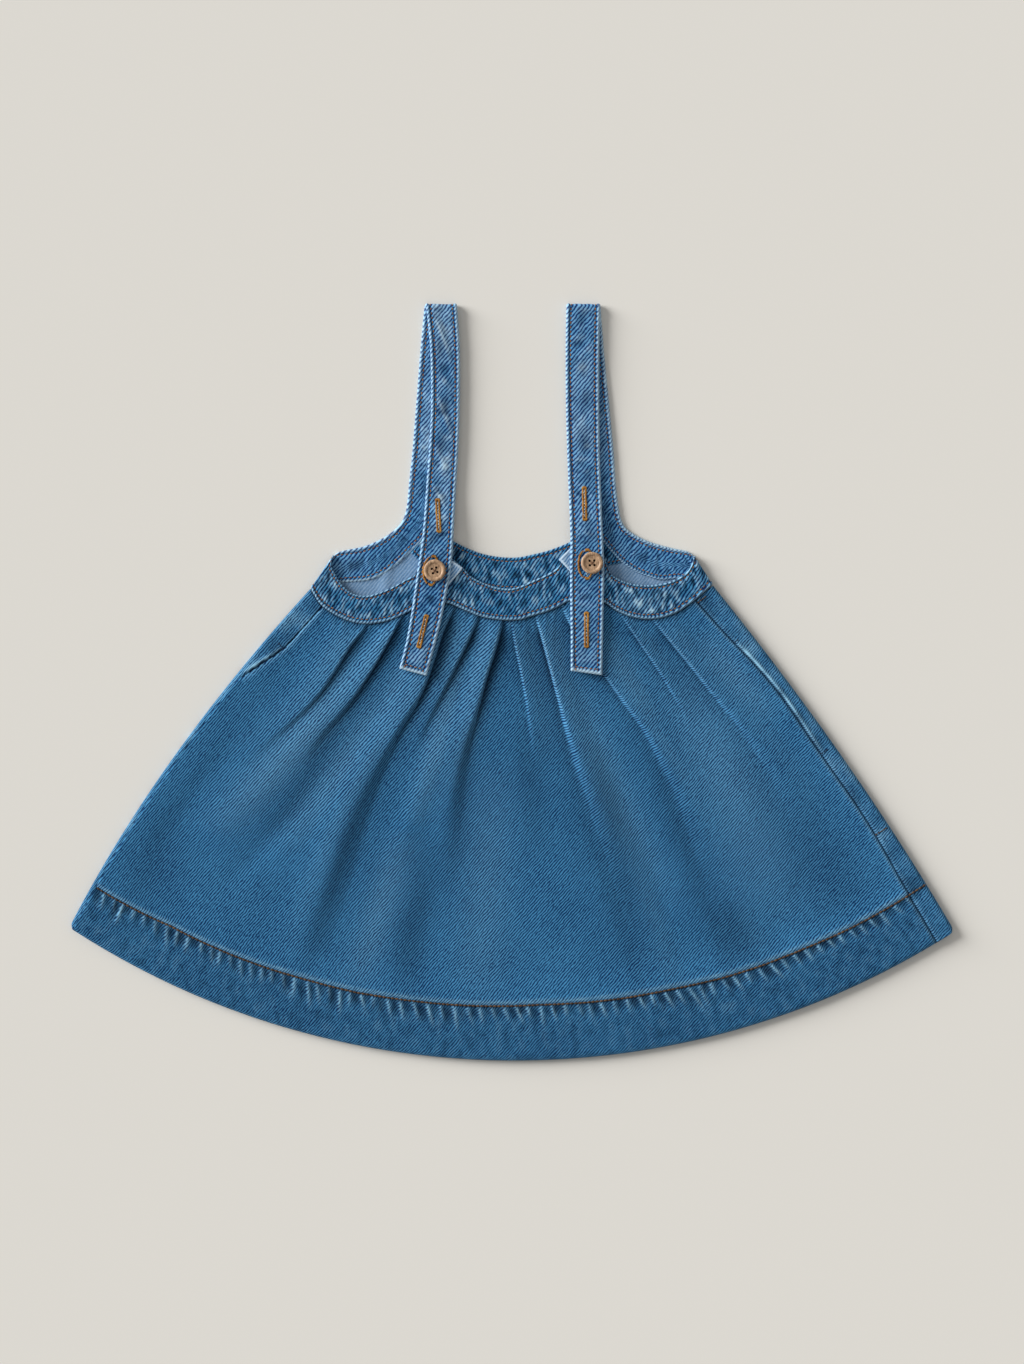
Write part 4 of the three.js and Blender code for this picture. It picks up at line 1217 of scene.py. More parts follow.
# Near black: the thread down in the buttons' holes, painted in the holes' shade
SHADED_HOLE_THREAD = thread("thread in the holes, painted in shade", (8, 5, 4), (30, 20, 16))
PALE_THREAD = thread("frayed cotton", (150, 160, 165), (222, 226, 226))
BUTTON_WOOD = button_wood()


# The front of the skirt

def spread_lines(ends, counts):
    """Places across at one row: the given runs of lines and evenly spaced ones between them."""
    lines = []
    for k, run in enumerate(ends):
        lines.extend(run)
        if k < len(ends) - 1:
            start, stop = run[-1], ends[k + 1][0]
            lines.extend(lerp(start, stop, n / (counts[k] + 1)) for n in range(1, counts[k] + 1))
    return lines


# Lines beside a pleat's edge, in millimetres from it, and the number between pleats
PLEAT_LINES = (-2.6, -1.5, -0.7, -0.35, 0, 0.35, 0.7, 1.4, 2.4)
LINES_BETWEEN = (14, 34, 42, 26, 28, 43, 41, 38, 22, 22, 25)
SEAM_LINE = 1.2
LEAST_STEP = 1e-4


@lru_cache(maxsize=None)
def front_lines(down):
    left, right = (side_seam(side, down) for side in SIDES)
    ends = [[left, left + SEAM_LINE / width_at(0.0, down)]]
    limit = SEAM_LINE / width_at(0.5, down)
    for edge, scale, *_ in pleats_at(down):
        ends.append([edge + d / scale for d in PLEAT_LINES])
    ends.append([right - SEAM_LINE / width_at(1.0, down), right])
    # Where two pleats start close together their lines share the room between them
    for k in range(1, len(ends)):
        before, after = ends[k - 1], ends[k]
        overlap = before[-1] + limit * 0.3 - after[0]
        if overlap > 0:
            middle = (before[-1] + after[0]) / 2
            half = limit * 0.15
            last = len(before) - 1
            ends[k - 1] = [
                min(a, middle - half - (last - n) * LEAST_STEP) for n, a in enumerate(before)
            ]
            ends[k] = [max(a, middle + half + n * LEAST_STEP) for n, a in enumerate(after)]
    return spread_lines(ends, LINES_BETWEEN)


def hem_row(rows):
    return next(k for k, down in enumerate(rows) if down > HEM_FOLD - 0.004)


def make_rows():
    """Places down of the rows, closest at the waist and at the hem."""
    rows = [-0.006, 0.0, 0.004]
    rows += [0.008 + 0.006 * k for k in range(20)]
    rows += [0.13 + 0.011 * k for k in range(16)]
    rows += [0.308 + 0.016 * k for k in range(33)]
    rows += [0.832 + 0.0052 * k for k in range(22)]
    rows += [0.952, 0.964, 0.974, 0.983, 0.99, 0.995, 0.998, 1.0]
    return rows


SKIRT_ROWS = make_rows()
chance = random.Random(11)


def make_puckers():
    """The roping under the hem's stitches: a row of small hollows with ridges between them, each
    with its place along the hem, half width, length, lean and strength."""
    found = []
    place = 6.0
    while place < 594:
        half = chance.uniform(2.4, 3.8)
        length = chance.uniform(9, 15) if chance.random() < 0.8 else chance.uniform(15, 21)
        found.append((place, half, length, chance.uniform(0.05, 0.45), chance.uniform(0.6, 1.0)))
        place += half * 2 + chance.uniform(1.2, 2.8)
    return found


HEM_PUCKERS = make_puckers()


def hem_relief(across, down):
    """The ridge above the hem's stitches, the groove under them and the roping below."""
    below = (down - graph(HEM_STITCH_ACROSS, HEM_STITCH_DOWN, across)) * HEM_REACH
    if below < -16:
        return 0.0, 0.0, 0.0
    ripple = noise_at(across * 70, 0, 12)
    height = 0.35 * bell(below + 2.8, 2.2) - 0.45 * bell(below, 1.0)
    worn_and_lit = (0.6 + 0.3 * ripple) * bell(below + 2.2, 1.4)
    # Painted shade in the groove under the stitches
    shade = 0.8 * bell(below - 0.3, 0.9)
    along = across * HEM_LENGTH
    if 0 < below < 24:
        for place, half, length, lean, strength in HEM_PUCKERS:
            distance = along - place - lean * below
            if abs(distance) < 3 * half and below < length:
                u = math.sin(math.pi * min(1.0, below / length) ** 0.55) * strength
                hollow = 1 - smoothstep(abs(distance), half * 0.55, half * 1.15)
                height -= 0.8 * u * hollow
                # Painted shade in the roping's hollows
                shade = max(shade, 0.88 * u * hollow)
                ridge = bell(distance - half - 0.8, 1.25)
                height += 0.4 * u * ridge
                worn_and_lit = max(worn_and_lit, min(1.0, 1.1 * u) * ridge)
    edge = (1 - down) * HEM_REACH
    worn_and_lit = max(worn_and_lit, 0.35 * bell(edge, 1.1))
    if below > 2:
        patch = noise_at(along / 5, below / 8, 15)
        shade = max(shade, 0.2 + 0.5 * max(0.0, -patch))
        worn_and_lit = max(worn_and_lit, 0.3 * max(0.0, patch))
    return height, worn_and_lit, shade


def pocket_mouth(side, down):
    start, stop = POCKETS[side]
    u = (down - start) / (stop - start)
    return math.sin(math.pi * u) ** 0.35 if 0 < u < 1 else 0.0


def seam_edges(across, down):
    """The front's edge along the side seams, which rolls down at the pocket mouths."""
    height, worn_and_lit = 0.0, 0.0
    for side in SIDES:
        scale = width_at(side_end(side)[0], down)
        seam = side_seam(side, down)
        distance = abs(across - seam) * scale
        fold_top = (SIDE_HEIGHT / 2) / scale
        if distance > 20 or (min(seam, 1 - seam) - fold_top) * scale < 1.5:
            continue
        mouth = pocket_mouth(side, down)
        height += 0.25 * bell(distance - 1.6, 1.6) - (0.5 + 0.7 * mouth) * bell(distance, 0.8)
        worn_and_lit = max(worn_and_lit, (0.42 - 0.2 * mouth) * bell(distance - 1.3, 1.0))
    return height, worn_and_lit


def front_surface(across, down):
    """A point of the front's outside, its fading by wear and painted highlights, and its darkening
    by painted shade and darker dye.
    """
    height, worn_and_lit, shade = front_height(across, down)
    x, y = skirt_point(*corner_place(across, down))
    hem_height, hem_worn, hem_shade = hem_relief(across, down)
    lip, lip_worn = seam_edges(across, down)
    swell = noise_at(x / 46, y / 60, 2.0) * 0.5
    swell += noise_at(x / 17, y / 24, 7.0) * 0.2
    near_waist = math.exp(-down * WAIST_REACH / 14)
    gather = streaks(x, down * WAIST_REACH, 31, long=3.4, wide=16) * near_waist
    height += hem_height + lip + swell * 0.7 * (1 - near_waist) + 0.35 * gather
    worn_and_lit = max(worn_and_lit, hem_worn, lip_worn, 0.3 * near_waist * max(0.0, gather))
    # Painted shadow along the top of the skirt, under the waistband's lower edge
    shade = max(shade, hem_shade, 0.6 * math.exp(-down * WAIST_REACH / 1.8))
    height -= 0.9 * bell((1 - down) * HEM_REACH, 1.1)
    return Vector((x, y, height)), min(1.0, worn_and_lit), min(1.0, shade)


def front_point(row, line):
    """The first row is tucked under the waistband."""
    down = SKIRT_ROWS[row]
    point, worn_and_lit, shade = front_surface(front_lines(max(0.0, down))[line], max(0.0, down))
    if down < 0:
        point.y -= down * WAIST_REACH
        point.z = BAND_HEIGHT - DOUBLE_CLOTH - 0.2
    return point, (point.x - point.z, point.y), worn_and_lit, shade


def make_front_skirt():
    lines = len(front_lines(0.0))
    bm = cloth_grid(lines, len(SKIRT_ROWS), front_point, hem_row(SKIRT_ROWS))
    bmesh.ops.reverse_faces(bm, faces=bm.faces)
    cloth = [SKIRT_DENIM, WRONG_SIDE]
    piece = finish_mesh("skirt_front", bm, ["front_skirt"], cloth)
    thicken(piece, CLOTH, doubled_points(piece))
    return piece


# The back of the skirt: flat under the front, and round the side folds to the side seams

def back_band_end(side, join):
    """An end line of the back band, beside the strap's inner edge, from its low to its top."""
    inwards = SEAM_GAP * side_end(side)[1]
    rows = refine(STRAP_BACKS[side], 2)
    low, top = rows[join], rows[14]
    return low[2] + inwards, low[3] - SEAM_GAP, top[2] + inwards, top[3] - SEAM_GAP


BACK_BAND_ROWS = [back_band_end("left", 10), *BACK_BAND, back_band_end("right", 9)]


TUCK = 1.5


def back_top_edge():
    """Points along the top of the back, tucked a little under the straps and the back band."""
    left = [(r[2], r[3]) for r in refine(STRAP_BACKS["left"], 2)[:10]]
    band = [(r[0], r[1]) for r in BACK_BAND_ROWS]
    right = [(r[2], r[3]) for r in refine(STRAP_BACKS["right"], 2)[:9]]
    points = [(x, y - 1.3 * SEAM_GAP + TUCK) for x, y in [*left, *band, *reversed(right)]]
    return [tuple(point) for point in refine(points, 2)]


BACK_TOP = back_top_edge()
BACK_COLUMNS = [
    (across, y - waist_point(across)[1])
    for across, y in [((x - WAIST_XS[0]) / WAIST_SPREAD, y) for x, y in BACK_TOP]
    if 0.03 < across < 0.97
]
# Lines round the side folds, and on the back's strips, in millimetres from the side seams
SIDE_FOLD_STEPS = 12
SIDE_TOP_INSETS = (0, 0.5, 1.1, 1.7, 2.4, 3.4, 5.0, 8.0)
UNDER_SEAM = 1.6


@lru_cache(maxsize=None)
def back_section(down):
    """One row of the back from seam to seam: (across, height, lift, wear, shade)."""
    radius = SIDE_HEIGHT / 2
    section = []
    for side in SIDES:
        end, inward = side_end(side)
        scale = width_at(end, down)
        seam = side_seam(side, down)
        mouth = pocket_mouth(side, down)
        fold_top = end + inward * radius / scale
        room = abs(seam - fold_top) * scale
        tucked = front_height(seam, down)[0] - 1.5
        # The point tucked under the seam is painted in deep shade
        run = [(seam + inward * UNDER_SEAM / scale, tucked, 0.0, 0.0, 0.9)]
        for inset in SIDE_TOP_INSETS:
            distance = inset if room > 6 else inset * room / 6
            if inset == SIDE_TOP_INSETS[-1]:
                distance = room * 0.85
            elif distance > room * 0.75:
                distance = room * (0.5 + 0.02 * inset)
            across = seam - inward * distance / scale
            clear = smoothstep(room, 1.2, 4.5)
            lip = (0.15 + 0.75 * mouth) * bell(distance - 1.7, 1.5) - 0.75 * bell(distance, 0.7)
            lip *= clear
            worn_and_lit = (0.16 + 0.75 * mouth) * bell(distance - 1.7, 1.2) * clear + 0.06
            # Painted shade in the seam's groove
            shade = 0.85 * bell(distance, 0.7) * clear
            run.append((across, front_height(across, down)[0] + lip, 0.0, worn_and_lit, shade))
        for k in range(SIDE_FOLD_STEPS + 1):
            angle = math.pi / 2 - math.pi * k / SIDE_FOLD_STEPS
            across = end + inward * radius * (1 - math.cos(angle)) / scale
            worn_and_lit = 0.16 * max(0.0, math.cos(angle - 0.5))
            run.append((across, radius + radius * math.sin(angle), 0.0, worn_and_lit, 0.0))
        section.append(run)
    middle = [(across, 0.0, lift, 0.0, 0.0) for across, lift in BACK_COLUMNS]
    return [*section[0], *middle, *reversed(section[1])]


def back_point(row, line):
    down = SKIRT_ROWS[row + 1]
    across, z, lift, worn_and_lit, shade = back_section(down)[line]
    x, y = skirt_point(*corner_place(across, down))
    y += lift * max(0.0, 1 - down / 0.25) ** 2
    pucker = streaks(down * WAIST_REACH, across * 200, 51)
    if z == 0.0:
        gather = max(0.0, streaks(x * 0.5, down * 90, 77, long=5, wide=40))
        inside = smoothstep(min(across, 1 - across), 0.012, 0.05)
        z = 0.7 * math.exp(-down * 6) * gather * inside
        return Vector((x, y, z)), (x, y), 0.0, 0.0
    z += 0.3 * noise_at(x / 9, y / 11, 5.0) * smoothstep(z, 3.5, 4.6)
    below_hem = (down - BACK_STITCH_DOWN) * HEM_REACH
    stitch = 0.35 * bell(below_hem, 1.0) if z > 3.5 else 0.0
    patch = noise_at(x / 14, y / 16, 9.0)
    worn_and_lit = min(1.0, worn_and_lit * (0.85 + 0.7 * max(0.0, pucker)) + 0.6 * max(0.0, patch))
    # Painted shade in the puckers' hollows, and darker patches of the cloth's own tone
    shade = min(1.0, shade + 0.2 * max(0.0, -pucker) + 0.8 * max(0.0, -patch))
    outwards = 1 if across < 0.5 else -1
    return Vector((x, y, max(0.0, z - stitch))), (x + outwards * z, y), worn_and_lit, shade


def make_back_skirt():
    lines = len(back_section(0.0))
    bm = cloth_grid(lines, len(SKIRT_ROWS) - 1, back_point, hem_row(SKIRT_ROWS[1:]))
    cloth = [SKIRT_DENIM, WRONG_SIDE]
    piece = finish_mesh("skirt_back", bm, ["back_skirt"], cloth)
    thicken(piece, CLOTH, doubled_points(piece))
    return piece


# Bands

def front_band_relief(s, x, width):
    low_side = x < width / 2
    nearest = min(x, width - x)
    edge = 2.9 if low_side else 2.0
    height = (0.6 if low_side else 0.3) * math.sin(math.pi * min(1.0, nearest / edge))
    height -= 0.36 * bell(nearest - edge - 0.3, 0.65)
    pucker = streaks(s, x, 17, long=2.7, wide=7.5)
    ripple = noise_at(s / 1.9, 0.0, 8.0)
    inside = smoothstep(nearest, edge + 0.3, edge + 2.4)
    beside = math.exp(-max(0.0, nearest - edge) / 6)
    # A sunken trough along the middle, painted in shade and left less pale
    trough = bell(x - width * 0.5, 3.4) * (0.5 + noise_at(s / 22, 0.0, 3.0))
    height += pucker * inside * (0.16 + 0.26 * beside) - 0.4 * trough
    broad = noise_at(s / 26, x / 20, 4.0)
    reach = (1.5, 2.6) if low_side else (0.9, 1.6)
    worn_and_lit = (0.55 + 0.3 * ripple) * (1 - smoothstep(nearest, *reach))
    pale = 0.06 + (0.6 + 0.4 * beside) * max(0.0, pucker) + 0.3 * broad - 0.3 * trough
    worn_and_lit = max(worn_and_lit, inside * pale)
    # Painted shade in the groove at the stitches, and in the puckers' hollows
    shade = 0.5 * bell(nearest - edge + 0.3, 0.6)
    shade = max(shade, inside * (max(0.0, -1.25 * pucker) * (0.65 + 0.35 * beside) + 0.4 * trough))
    # Painted shadow along the band's lower edge, where it rolls under
    if low_side:
        shade = max(shade, 0.7 * (1 - smoothstep(nearest, 0.0, 0.7)))
    return height, min(1.0, max(0.0, worn_and_lit)), min(1.0, max(0.0, shade))


def back_band_relief(s, x, width):
    nearest = min(x, width - x)
    roll = 2.6
    height = 0.0
    if nearest < roll:
        height += 0.3 * math.sin(math.pi * max(0.0, nearest - 0.2) / roll)
    height -= 0.32 * bell(nearest - roll, 0.55)
    pucker = streaks(s, x, 23, long=3.4, wide=7)
    inside = smoothstep(nearest, roll, 5.0)
    height += 0.3 * pucker * inside
    worn_and_lit = 0.3 * (1 - smoothstep(nearest, 0.6, 1.3))
    worn_and_lit = max(worn_and_lit, inside * 0.9 * max(0.0, pucker))
    # A little darker all over, with painted shade in the groove at the stitches and in the puckers'
    # hollows
    shade = 0.1 + 0.4 * bell(nearest - 2.3, 0.6) + inside * max(0.0, -1.2 * pucker)
    return height, min(1.0, worn_and_lit), min(1.0, shade)


def make_bands():
    front = band_frames()
    bm = strip_mesh(front, front_band_relief)
    band = finish_mesh("band_front", bm, ["front_band"], [BAND_DENIM])
    back = back_band_frames()
    bm = strip_mesh(back, back_band_relief)
    back_piece = finish_mesh("band_back", bm, ["back_band"], [BAND_DENIM])
    rows = bmesh.new()
    stitch_row(rows, *strip_path(front, front_band_relief, STITCH_INSET))
    stitch_row(rows, *strip_path(front, front_band_relief, BAND_TOP_INSET, from_second=True))
    stitch_row(rows, *strip_path(back, back_band_relief, BACK_BAND_INSET, from_second=True))
    stitch_row(rows, *strip_path(back, back_band_relief, BACK_BAND_INSET))
    finish_mesh("band_topstitch", rows, [], [BROWN_THREAD])
    return band, back_piece


# Straps, with their buttonholes

def make_buttonhole(gold, pale, side, centre_x, centre_y, length, lean, buttoned):
    """Golden stitches side by side round a slit, and the pale fray inside it."""

    def seat(x, y, lift):
        """A place of the hole, seated on the strap's face there."""
        spot = at @ Vector((x, y, 0))
        lift += strap_face(side, spot.x, spot.y)
        return Matrix.Translation((0, 0, lift)) @ at @ Matrix.Translation((x, y, 0))

    spread = (0.0, 0.0)
    if buttoned:
        shorter, spread = PULLED_OPEN
        length -= shorter
    turn = Matrix.Rotation(math.radians(lean), 4, "Z")
    at = Matrix.Translation((centre_x, centre_y, 0)) @ turn
    count = round(length / BUTTONHOLE_PITCH)
    for k in range(count + 1):
        share = lerp(-1, 1, k / count)
        y = share * length / 2
        bulge = math.sqrt(max(0.0, 1 - share * share))
        for way, reach in zip((-1, 1), spread):
            x = way * (1.0 + reach * bulge) + chance.uniform(-0.14, 0.14)
            steep = way * reach * share / (length / 2) / max(0.35, bulge)
            lie = Matrix.Rotation(math.atan(steep) + chance.uniform(-0.25, 0.25), 4, "Z")
            half = chance.uniform(0.65, 0.95)
            add_stitch(gold, seat(x, y, 0.28) @ lie, half, 0.4, 0.42)
    for end in (-1, 1):
        for k in range(6):
            x = lerp(-1.3, 1.3, k / 5)
            tip = end * (length / 2 + 0.5 - 0.25 * x * x)
            add_stitch(gold, seat(x, tip, 0.36), 0.34, 1.15, 0.5)
    for k in range(9):
        y = lerp(-length * 0.38, length * 0.38, k / 8)
        lie = Matrix.Rotation(chance.uniform(-0.9, 0.9), 4, "Z")
        thick, long = chance.uniform(0.22, 0.45), chance.uniform(0.7, 1.6)
        add_stitch(pale, seat(chance.uniform(-0.3, 0.3), y, 0.25) @ lie, thick, long, 0.3)


STRAP_FRAMES = {side: strap_frames(side) for side in SIDES}
STRAP_RELIEFS = {
    side: strap_relief(side, seed, creased, frames[front_start][3], frames[-1][3])
    for (side, (frames, _, front_start)), seed, creased in zip(
        STRAP_FRAMES.items(), (41, 63), (1.2, 0.7)
    )
}


def front_line(side, y):
    """The line across a front leg that lies nearest to a place up the plan."""
    frames, _, front_start = STRAP_FRAMES[side]
    return min(frames[front_start:], key=lambda f: abs((f[0].y + f[1].y) / 2 - y))


def strap_face(side, x, y):
    """Height of the face of a front leg, with its relief, at a point of the plan."""
    a, b, _, s = front_line(side, y)
    width = (b - a).length
    inset = (Vector((x, y, a.z)) - a).dot(b - a) / width
    return a.z + DOUBLE_CLOTH / 2 + STRAP_RELIEFS[side](s, inset, width)[0]


def make_straps():
    pieces = []
    rows = bmesh.new()
    gold = bmesh.new()
    pale = bmesh.new()
    for side in SIDES:
        frames, joint, front_start = STRAP_FRAMES[side]
        relief = STRAP_RELIEFS[side]
        bm = strip_mesh(frames, relief)
        name = f"strap_{side}_cloth"
        pieces.append(finish_mesh(name, bm, [f"strap_{side}"], [STRAP_DENIM]))
        for from_second in (False, True):
            path = strip_path(
                frames, relief, STITCH_INSET, from_second, start=front_start - 5, stop=-1
            )
            stitch_row(rows, *path)
            path = strip_path(frames, relief, STITCH_INSET, from_second, side=-1, stop=joint)
            stitch_row(rows, *path)
        (a, b, *_), (c, d, *_) = frames[-1], frames[-2]
        share = 3.6 / (a - c).length
        a, b = a.lerp(c, share), b.lerp(d, share)
        across = [a.lerp(b, lerp(0.15, 0.85, k / 10)) + UP * 1.15 for k in range(11)]
        stitch_row(rows, across, [UP] * len(across))
        for number, hole in enumerate(BUTTONHOLES[side]):
            make_buttonhole(gold, pale, side, *hole, buttoned=number == 1)
    finish_mesh("strap_topstitch", rows, [], [BROWN_THREAD])
    finish_mesh("buttonhole_thread", gold, [], [GOLD_THREAD])
    finish_mesh("buttonhole_fray", pale, [], [PALE_THREAD])
    return pieces


# Hem and seam stitches

def side_height(across, down):
    """Height of the outside near a side, over its rounded fold."""
    radius = SIDE_HEIGHT / 2
    inset = min(across, 1 - across) * width_at(0.0 if across < 0.5 else 1.0, down)
    if inset >= radius:
        return front_height(across, down)[0]
    return radius + math.sqrt(radius**2 - (radius - inset) ** 2)


def make_skirt_stitches():
    """The hem's stitches from side to side, and the bars across the side seams."""
    rows = bmesh.new()
    points = []
    seam = side_seam("right", BACK_STITCH_DOWN)
    for k in range(601):
        across = lerp(0.006, seam, k / 600)
        down = graph(HEM_STITCH_ACROSS, HEM_STITCH_DOWN, across)
        points.append(front_surface(across, down)[0] + UP * 0.16)
    for k in range(1, 13):
        across = lerp(seam, 0.9972, k / 12)
        x, y = skirt_point(across, BACK_STITCH_DOWN)
        points.append(Vector((x, y, side_height(across, BACK_STITCH_DOWN))))
    stitch_row(rows, points, [UP] * len(points), **HEM_STITCHES)
    bar_across(rows, "right", 0.007, 0.45)
    bar_across(rows, "right", 0.695, 0.86)
    finish_mesh("skirt_topstitch", rows, [], [HEM_THREAD])
    tacks = bmesh.new()
    for side, down, reach in (("right", 0.13, 0.3), ("right", 0.46, 0.45), ("left", 0.13, 0.5)):
        bar_across(tacks, side, down, reach)
    finish_mesh("pocket_tacks", tacks, [], [NAVY_THREAD])


def bar_across(rows, side, down, reach):
    seam = side_seam(side, down)
    points = []
    for k in range(9):
        across = lerp(seam, side_end(side)[0], reach * k / 8)
        x, y = skirt_point(across, down)
        points.append(Vector((x, y, side_height(across, down) + 0.15)))
    stitch_row(rows, points, [UP] * len(points), **BAR_STITCHES)


# Buttons

def hole_places(z):
    """The places of a button's four holes, at a height in the button."""
    for k in range(4):
        x = BUTTON_HOLE_PITCH / 2 * (1 if k % 2 else -1)
        y = BUTTON_HOLE_PITCH / 2 * (1 if k < 2 else -1)
        yield Matrix.Translation((x, y, z))


def add_peg(bm, place, segments, radius, depth):
    shape = {"cap_ends": True, "segments": segments, "depth": depth}
    bmesh.ops.create_cone(bm, radius1=radius, radius2=radius, matrix=place, **shape)


def make_button(side):
    """Turn the profile once round, then drill the four holes."""
    x, y, turn = BUTTONS[side]
    profile = [
        (0, 0),
        (BUTTON_RADIUS - 1.6, 0),
        (BUTTON_RADIUS - 0.9, 0.2),
        (BUTTON_RADIUS - 0.5, 0.5),
        (BUTTON_RADIUS - 0.15, 0.95),
        (BUTTON_RADIUS, 1.4),
        (BUTTON_RADIUS - 0.02, 1.9),
        (BUTTON_RADIUS - 0.2, 2.4),
        (BUTTON_RADIUS - 0.55, BUTTON_THICKNESS - 0.2),
        (BUTTON_RADIUS - 1.0, BUTTON_THICKNESS),
        (BUTTON_DISH_RADIUS + 0.9, BUTTON_THICKNESS - 0.1),
        (BUTTON_DISH_RADIUS + 0.4, BUTTON_THICKNESS - BUTTON_DISH_DEPTH * 0.5),
        (BUTTON_DISH_RADIUS, BUTTON_THICKNESS - BUTTON_DISH_DEPTH),
        (0, BUTTON_THICKNESS - BUTTON_DISH_DEPTH - 0.1),
    ]
    bm = bmesh.new()
    verts = [bm.verts.new((radius, 0, z)) for radius, z in profile]
    edges = [bm.edges.new(pair) for pair in zip(verts, verts[1:])]
    turned = {"cent": (0, 0, 0), "axis": UP, "angle": 2 * math.pi, "steps": 64}
    bmesh.ops.spin(bm, geom=verts + edges, use_merge=True, **turned)
    bmesh.ops.remove_doubles(bm, verts=bm.verts, dist=1e-3)
    bmesh.ops.recalc_face_normals(bm, faces=bm.faces)
    drills = bmesh.new()
    for hole in hole_places(1):
        add_peg(drills, hole, 20, BUTTON_HOLE_RADIUS, 8)
    disc = mesh_object("disc", bm)
    drill = mesh_object("drill", drills)
    cut = disc.modifiers.new("holes", "BOOLEAN")
    cut.operation = "DIFFERENCE"
    cut.solver = "EXACT"
    cut.object = drill
    bpy.context.view_layer.update()
    drilled = disc.evaluated_get(bpy.context.evaluated_depsgraph_get())
    bm = bmesh.new()
    bm.from_mesh(drilled.to_mesh())
    drilled.to_mesh_clear()
    bpy.data.objects.remove(disc)
    bpy.data.objects.remove(drill)
    z = front_line(side, y)[0].z + DOUBLE_CLOTH / 2 + LAY_GAP
    place = Matrix.Translation((x, y, z)) @ Matrix.Rotation(math.radians(turn), 4, "Z")
    bmesh.ops.transform(bm, matrix=place, verts=bm.verts)
    name = f"button_{side}_disc"
    piece = finish_mesh(name, bm, [f"button_{side}"], [BUTTON_WOOD])
    piece.data.set_sharp_from_angle(angle=math.radians(35))
    return place


def make_buttons():
    """Both buttons, each with a cross of two threads each way and the thread in its holes, painted
    near black as the holes' shade.
    """
    crosses = bmesh.new()
    depths = bmesh.new()
    for side in SIDES:
        place = make_button(side)
        top = Matrix.Translation((0, 0, BUTTON_THICKNESS - 0.75))
        for angle in (45, -45):
            lie = place @ top @ Matrix.Rotation(math.radians(angle), 4, "Z")
            for shift in (-0.14, 0.14):
                shifted = lie @ Matrix.Translation((0, shift, 0))
                add_stitch(crosses, shifted, 1.9, 0.15, 0.3, segments=(10, 6))
        for hole in hole_places(-0.4):
            add_peg(depths, place @ hole, 8, BUTTON_THREAD_RADIUS, 3.4)
    finish_mesh("button_thread", crosses, [], [BUTTON_THREAD])
    finish_mesh("button_hole_thread_in_shade", depths, [], [SHADED_HOLE_THREAD])


# Pale corners of the band's tabs, turned over beside the straps

FLAPS = [
    [(-44.0, 84.5), (-33.0, 77.3), (-44.0, 64.6)],
    [(43.0, 93.6), (31.4, 83.2), (43.0, 71.4)],
]
FLAP_LINES = 14
FLAP_ROWS = 20
FLAP_CLOTH = 0.8


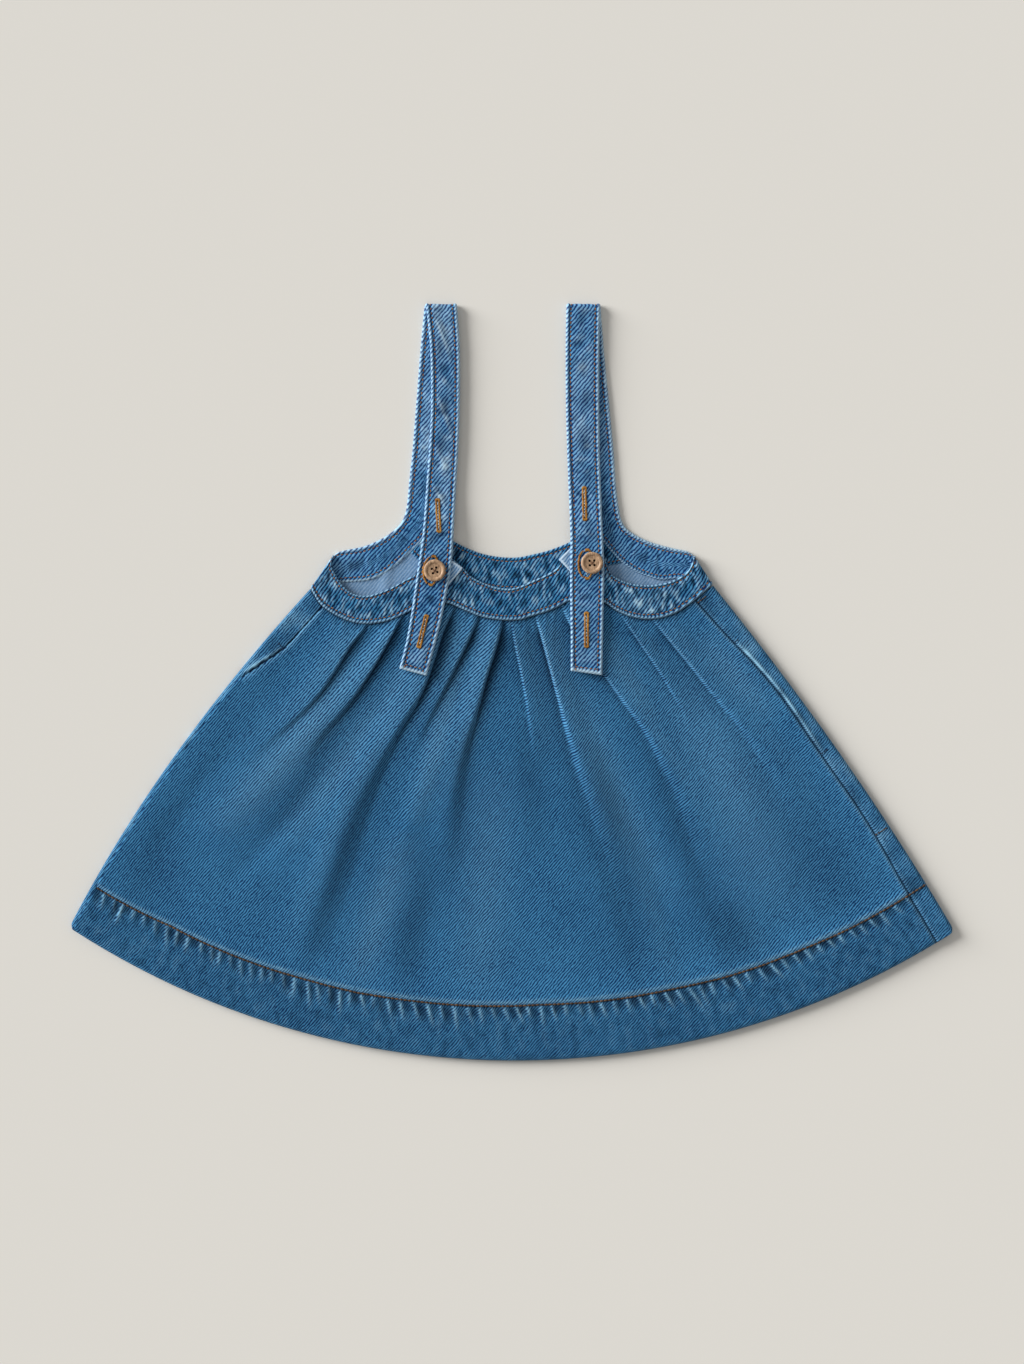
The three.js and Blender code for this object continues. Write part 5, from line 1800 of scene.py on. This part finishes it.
def make_flaps():
    """Three-cornered pieces with a rolled edge, lying on the band's top edge."""
    for number, (top, tip, low) in enumerate(FLAPS):
        top, tip, low = (Vector((x, y, 0)) for x, y in (top, tip, low))

        def place(row, line, top=top, tip=tip, low=low):
            u, v = line / FLAP_LINES, row / FLAP_ROWS
            point = top.lerp(low, v).lerp(tip, u * 0.97)
            border = min(v, 1 - v) * (1 - u) * 10 + 0.6 * (1 - u)
            rise = 0.9 + 0.3 * math.sin(math.pi * u)
            point.z = BAND_HEIGHT + rise + 0.25 * bell(border - 0.9, 0.7)
            worn_and_lit = 0.35 + 0.6 * bell(border - 0.6, 0.8)
            return point, (point.x, point.y), worn_and_lit, 0.0

        bm = cloth_grid(FLAP_LINES + 1, FLAP_ROWS + 1, place)
        bmesh.ops.recalc_face_normals(bm, faces=bm.faces)
        if sum(face.normal.z for face in bm.faces) < 0:
            bmesh.ops.reverse_faces(bm, faces=bm.faces)
        name = f"band_flap_{number + 1}"
        piece = finish_mesh(name, bm, [], [FLAP_DENIM, FLAP_DENIM])
        thicken(piece, FLAP_CLOTH)


# Floor, light and camera

# Height of the picture in pixels, and millimetres for each pixel at the floor
FRAME_PIXELS = 1364
PIXEL = 0.68
FRAME_HEIGHT = FRAME_PIXELS * PIXEL * MM
LENS = 85.0
SENSOR = 36.0
FLOOR_SIZE = 6
FLOOR_DROP = 0.0003
FLOOR_COLOUR = (0.80, 0.775, 0.72, 1)
SUN_STRENGTH = 4.9
SUN_SPREAD = 34
SUN_WAY = (0.87, -0.36, -0.33)
SKY_COLOUR = (1, 0.99, 0.98, 1)
SKY_STRENGTH = 0.375


def make_stage():
    bm = bmesh.new()
    bmesh.ops.create_grid(bm, x_segments=1, y_segments=1, size=FLOOR_SIZE)
    bmesh.ops.translate(bm, vec=(0, 0, -FLOOR_DROP), verts=bm.verts)
    material, _, shader = surface("floor paint", 0.9, specular=0.0)
    shader.inputs["Base Color"].default_value = FLOOR_COLOUR
    mesh_object("floor", bm, [material])
    sun = bpy.data.lights.new("key", "SUN")
    sun.energy = SUN_STRENGTH
    sun.angle = math.radians(SUN_SPREAD)
    turn = Vector(SUN_WAY).to_track_quat("-Z", "Y").to_euler()
    add_object("key", sun).rotation_euler = turn
    scene = bpy.context.scene
    scene.world = bpy.data.worlds.new("studio")
    scene.world.use_nodes = True
    sky = scene.world.node_tree.nodes["Background"].inputs
    sky["Color"].default_value = SKY_COLOUR
    sky["Strength"].default_value = SKY_STRENGTH
    scene.view_settings.view_transform = "Standard"
    scene.view_settings.look = "None"


def make_camera():
    data = bpy.data.cameras.new("camera")
    data.lens = LENS
    data.sensor_width = SENSOR
    data.clip_start = 0.05
    data.clip_end = 50
    camera = add_object("camera", data)
    camera.location = (0, 0, FRAME_HEIGHT * LENS / SENSOR)
    bpy.context.scene.camera = camera


make_camera()
make_stage()
front = make_front_skirt()
back = make_back_skirt()
band, back_band = make_bands()
straps = make_straps()
make_skirt_stitches()
make_buttons()
make_flaps()
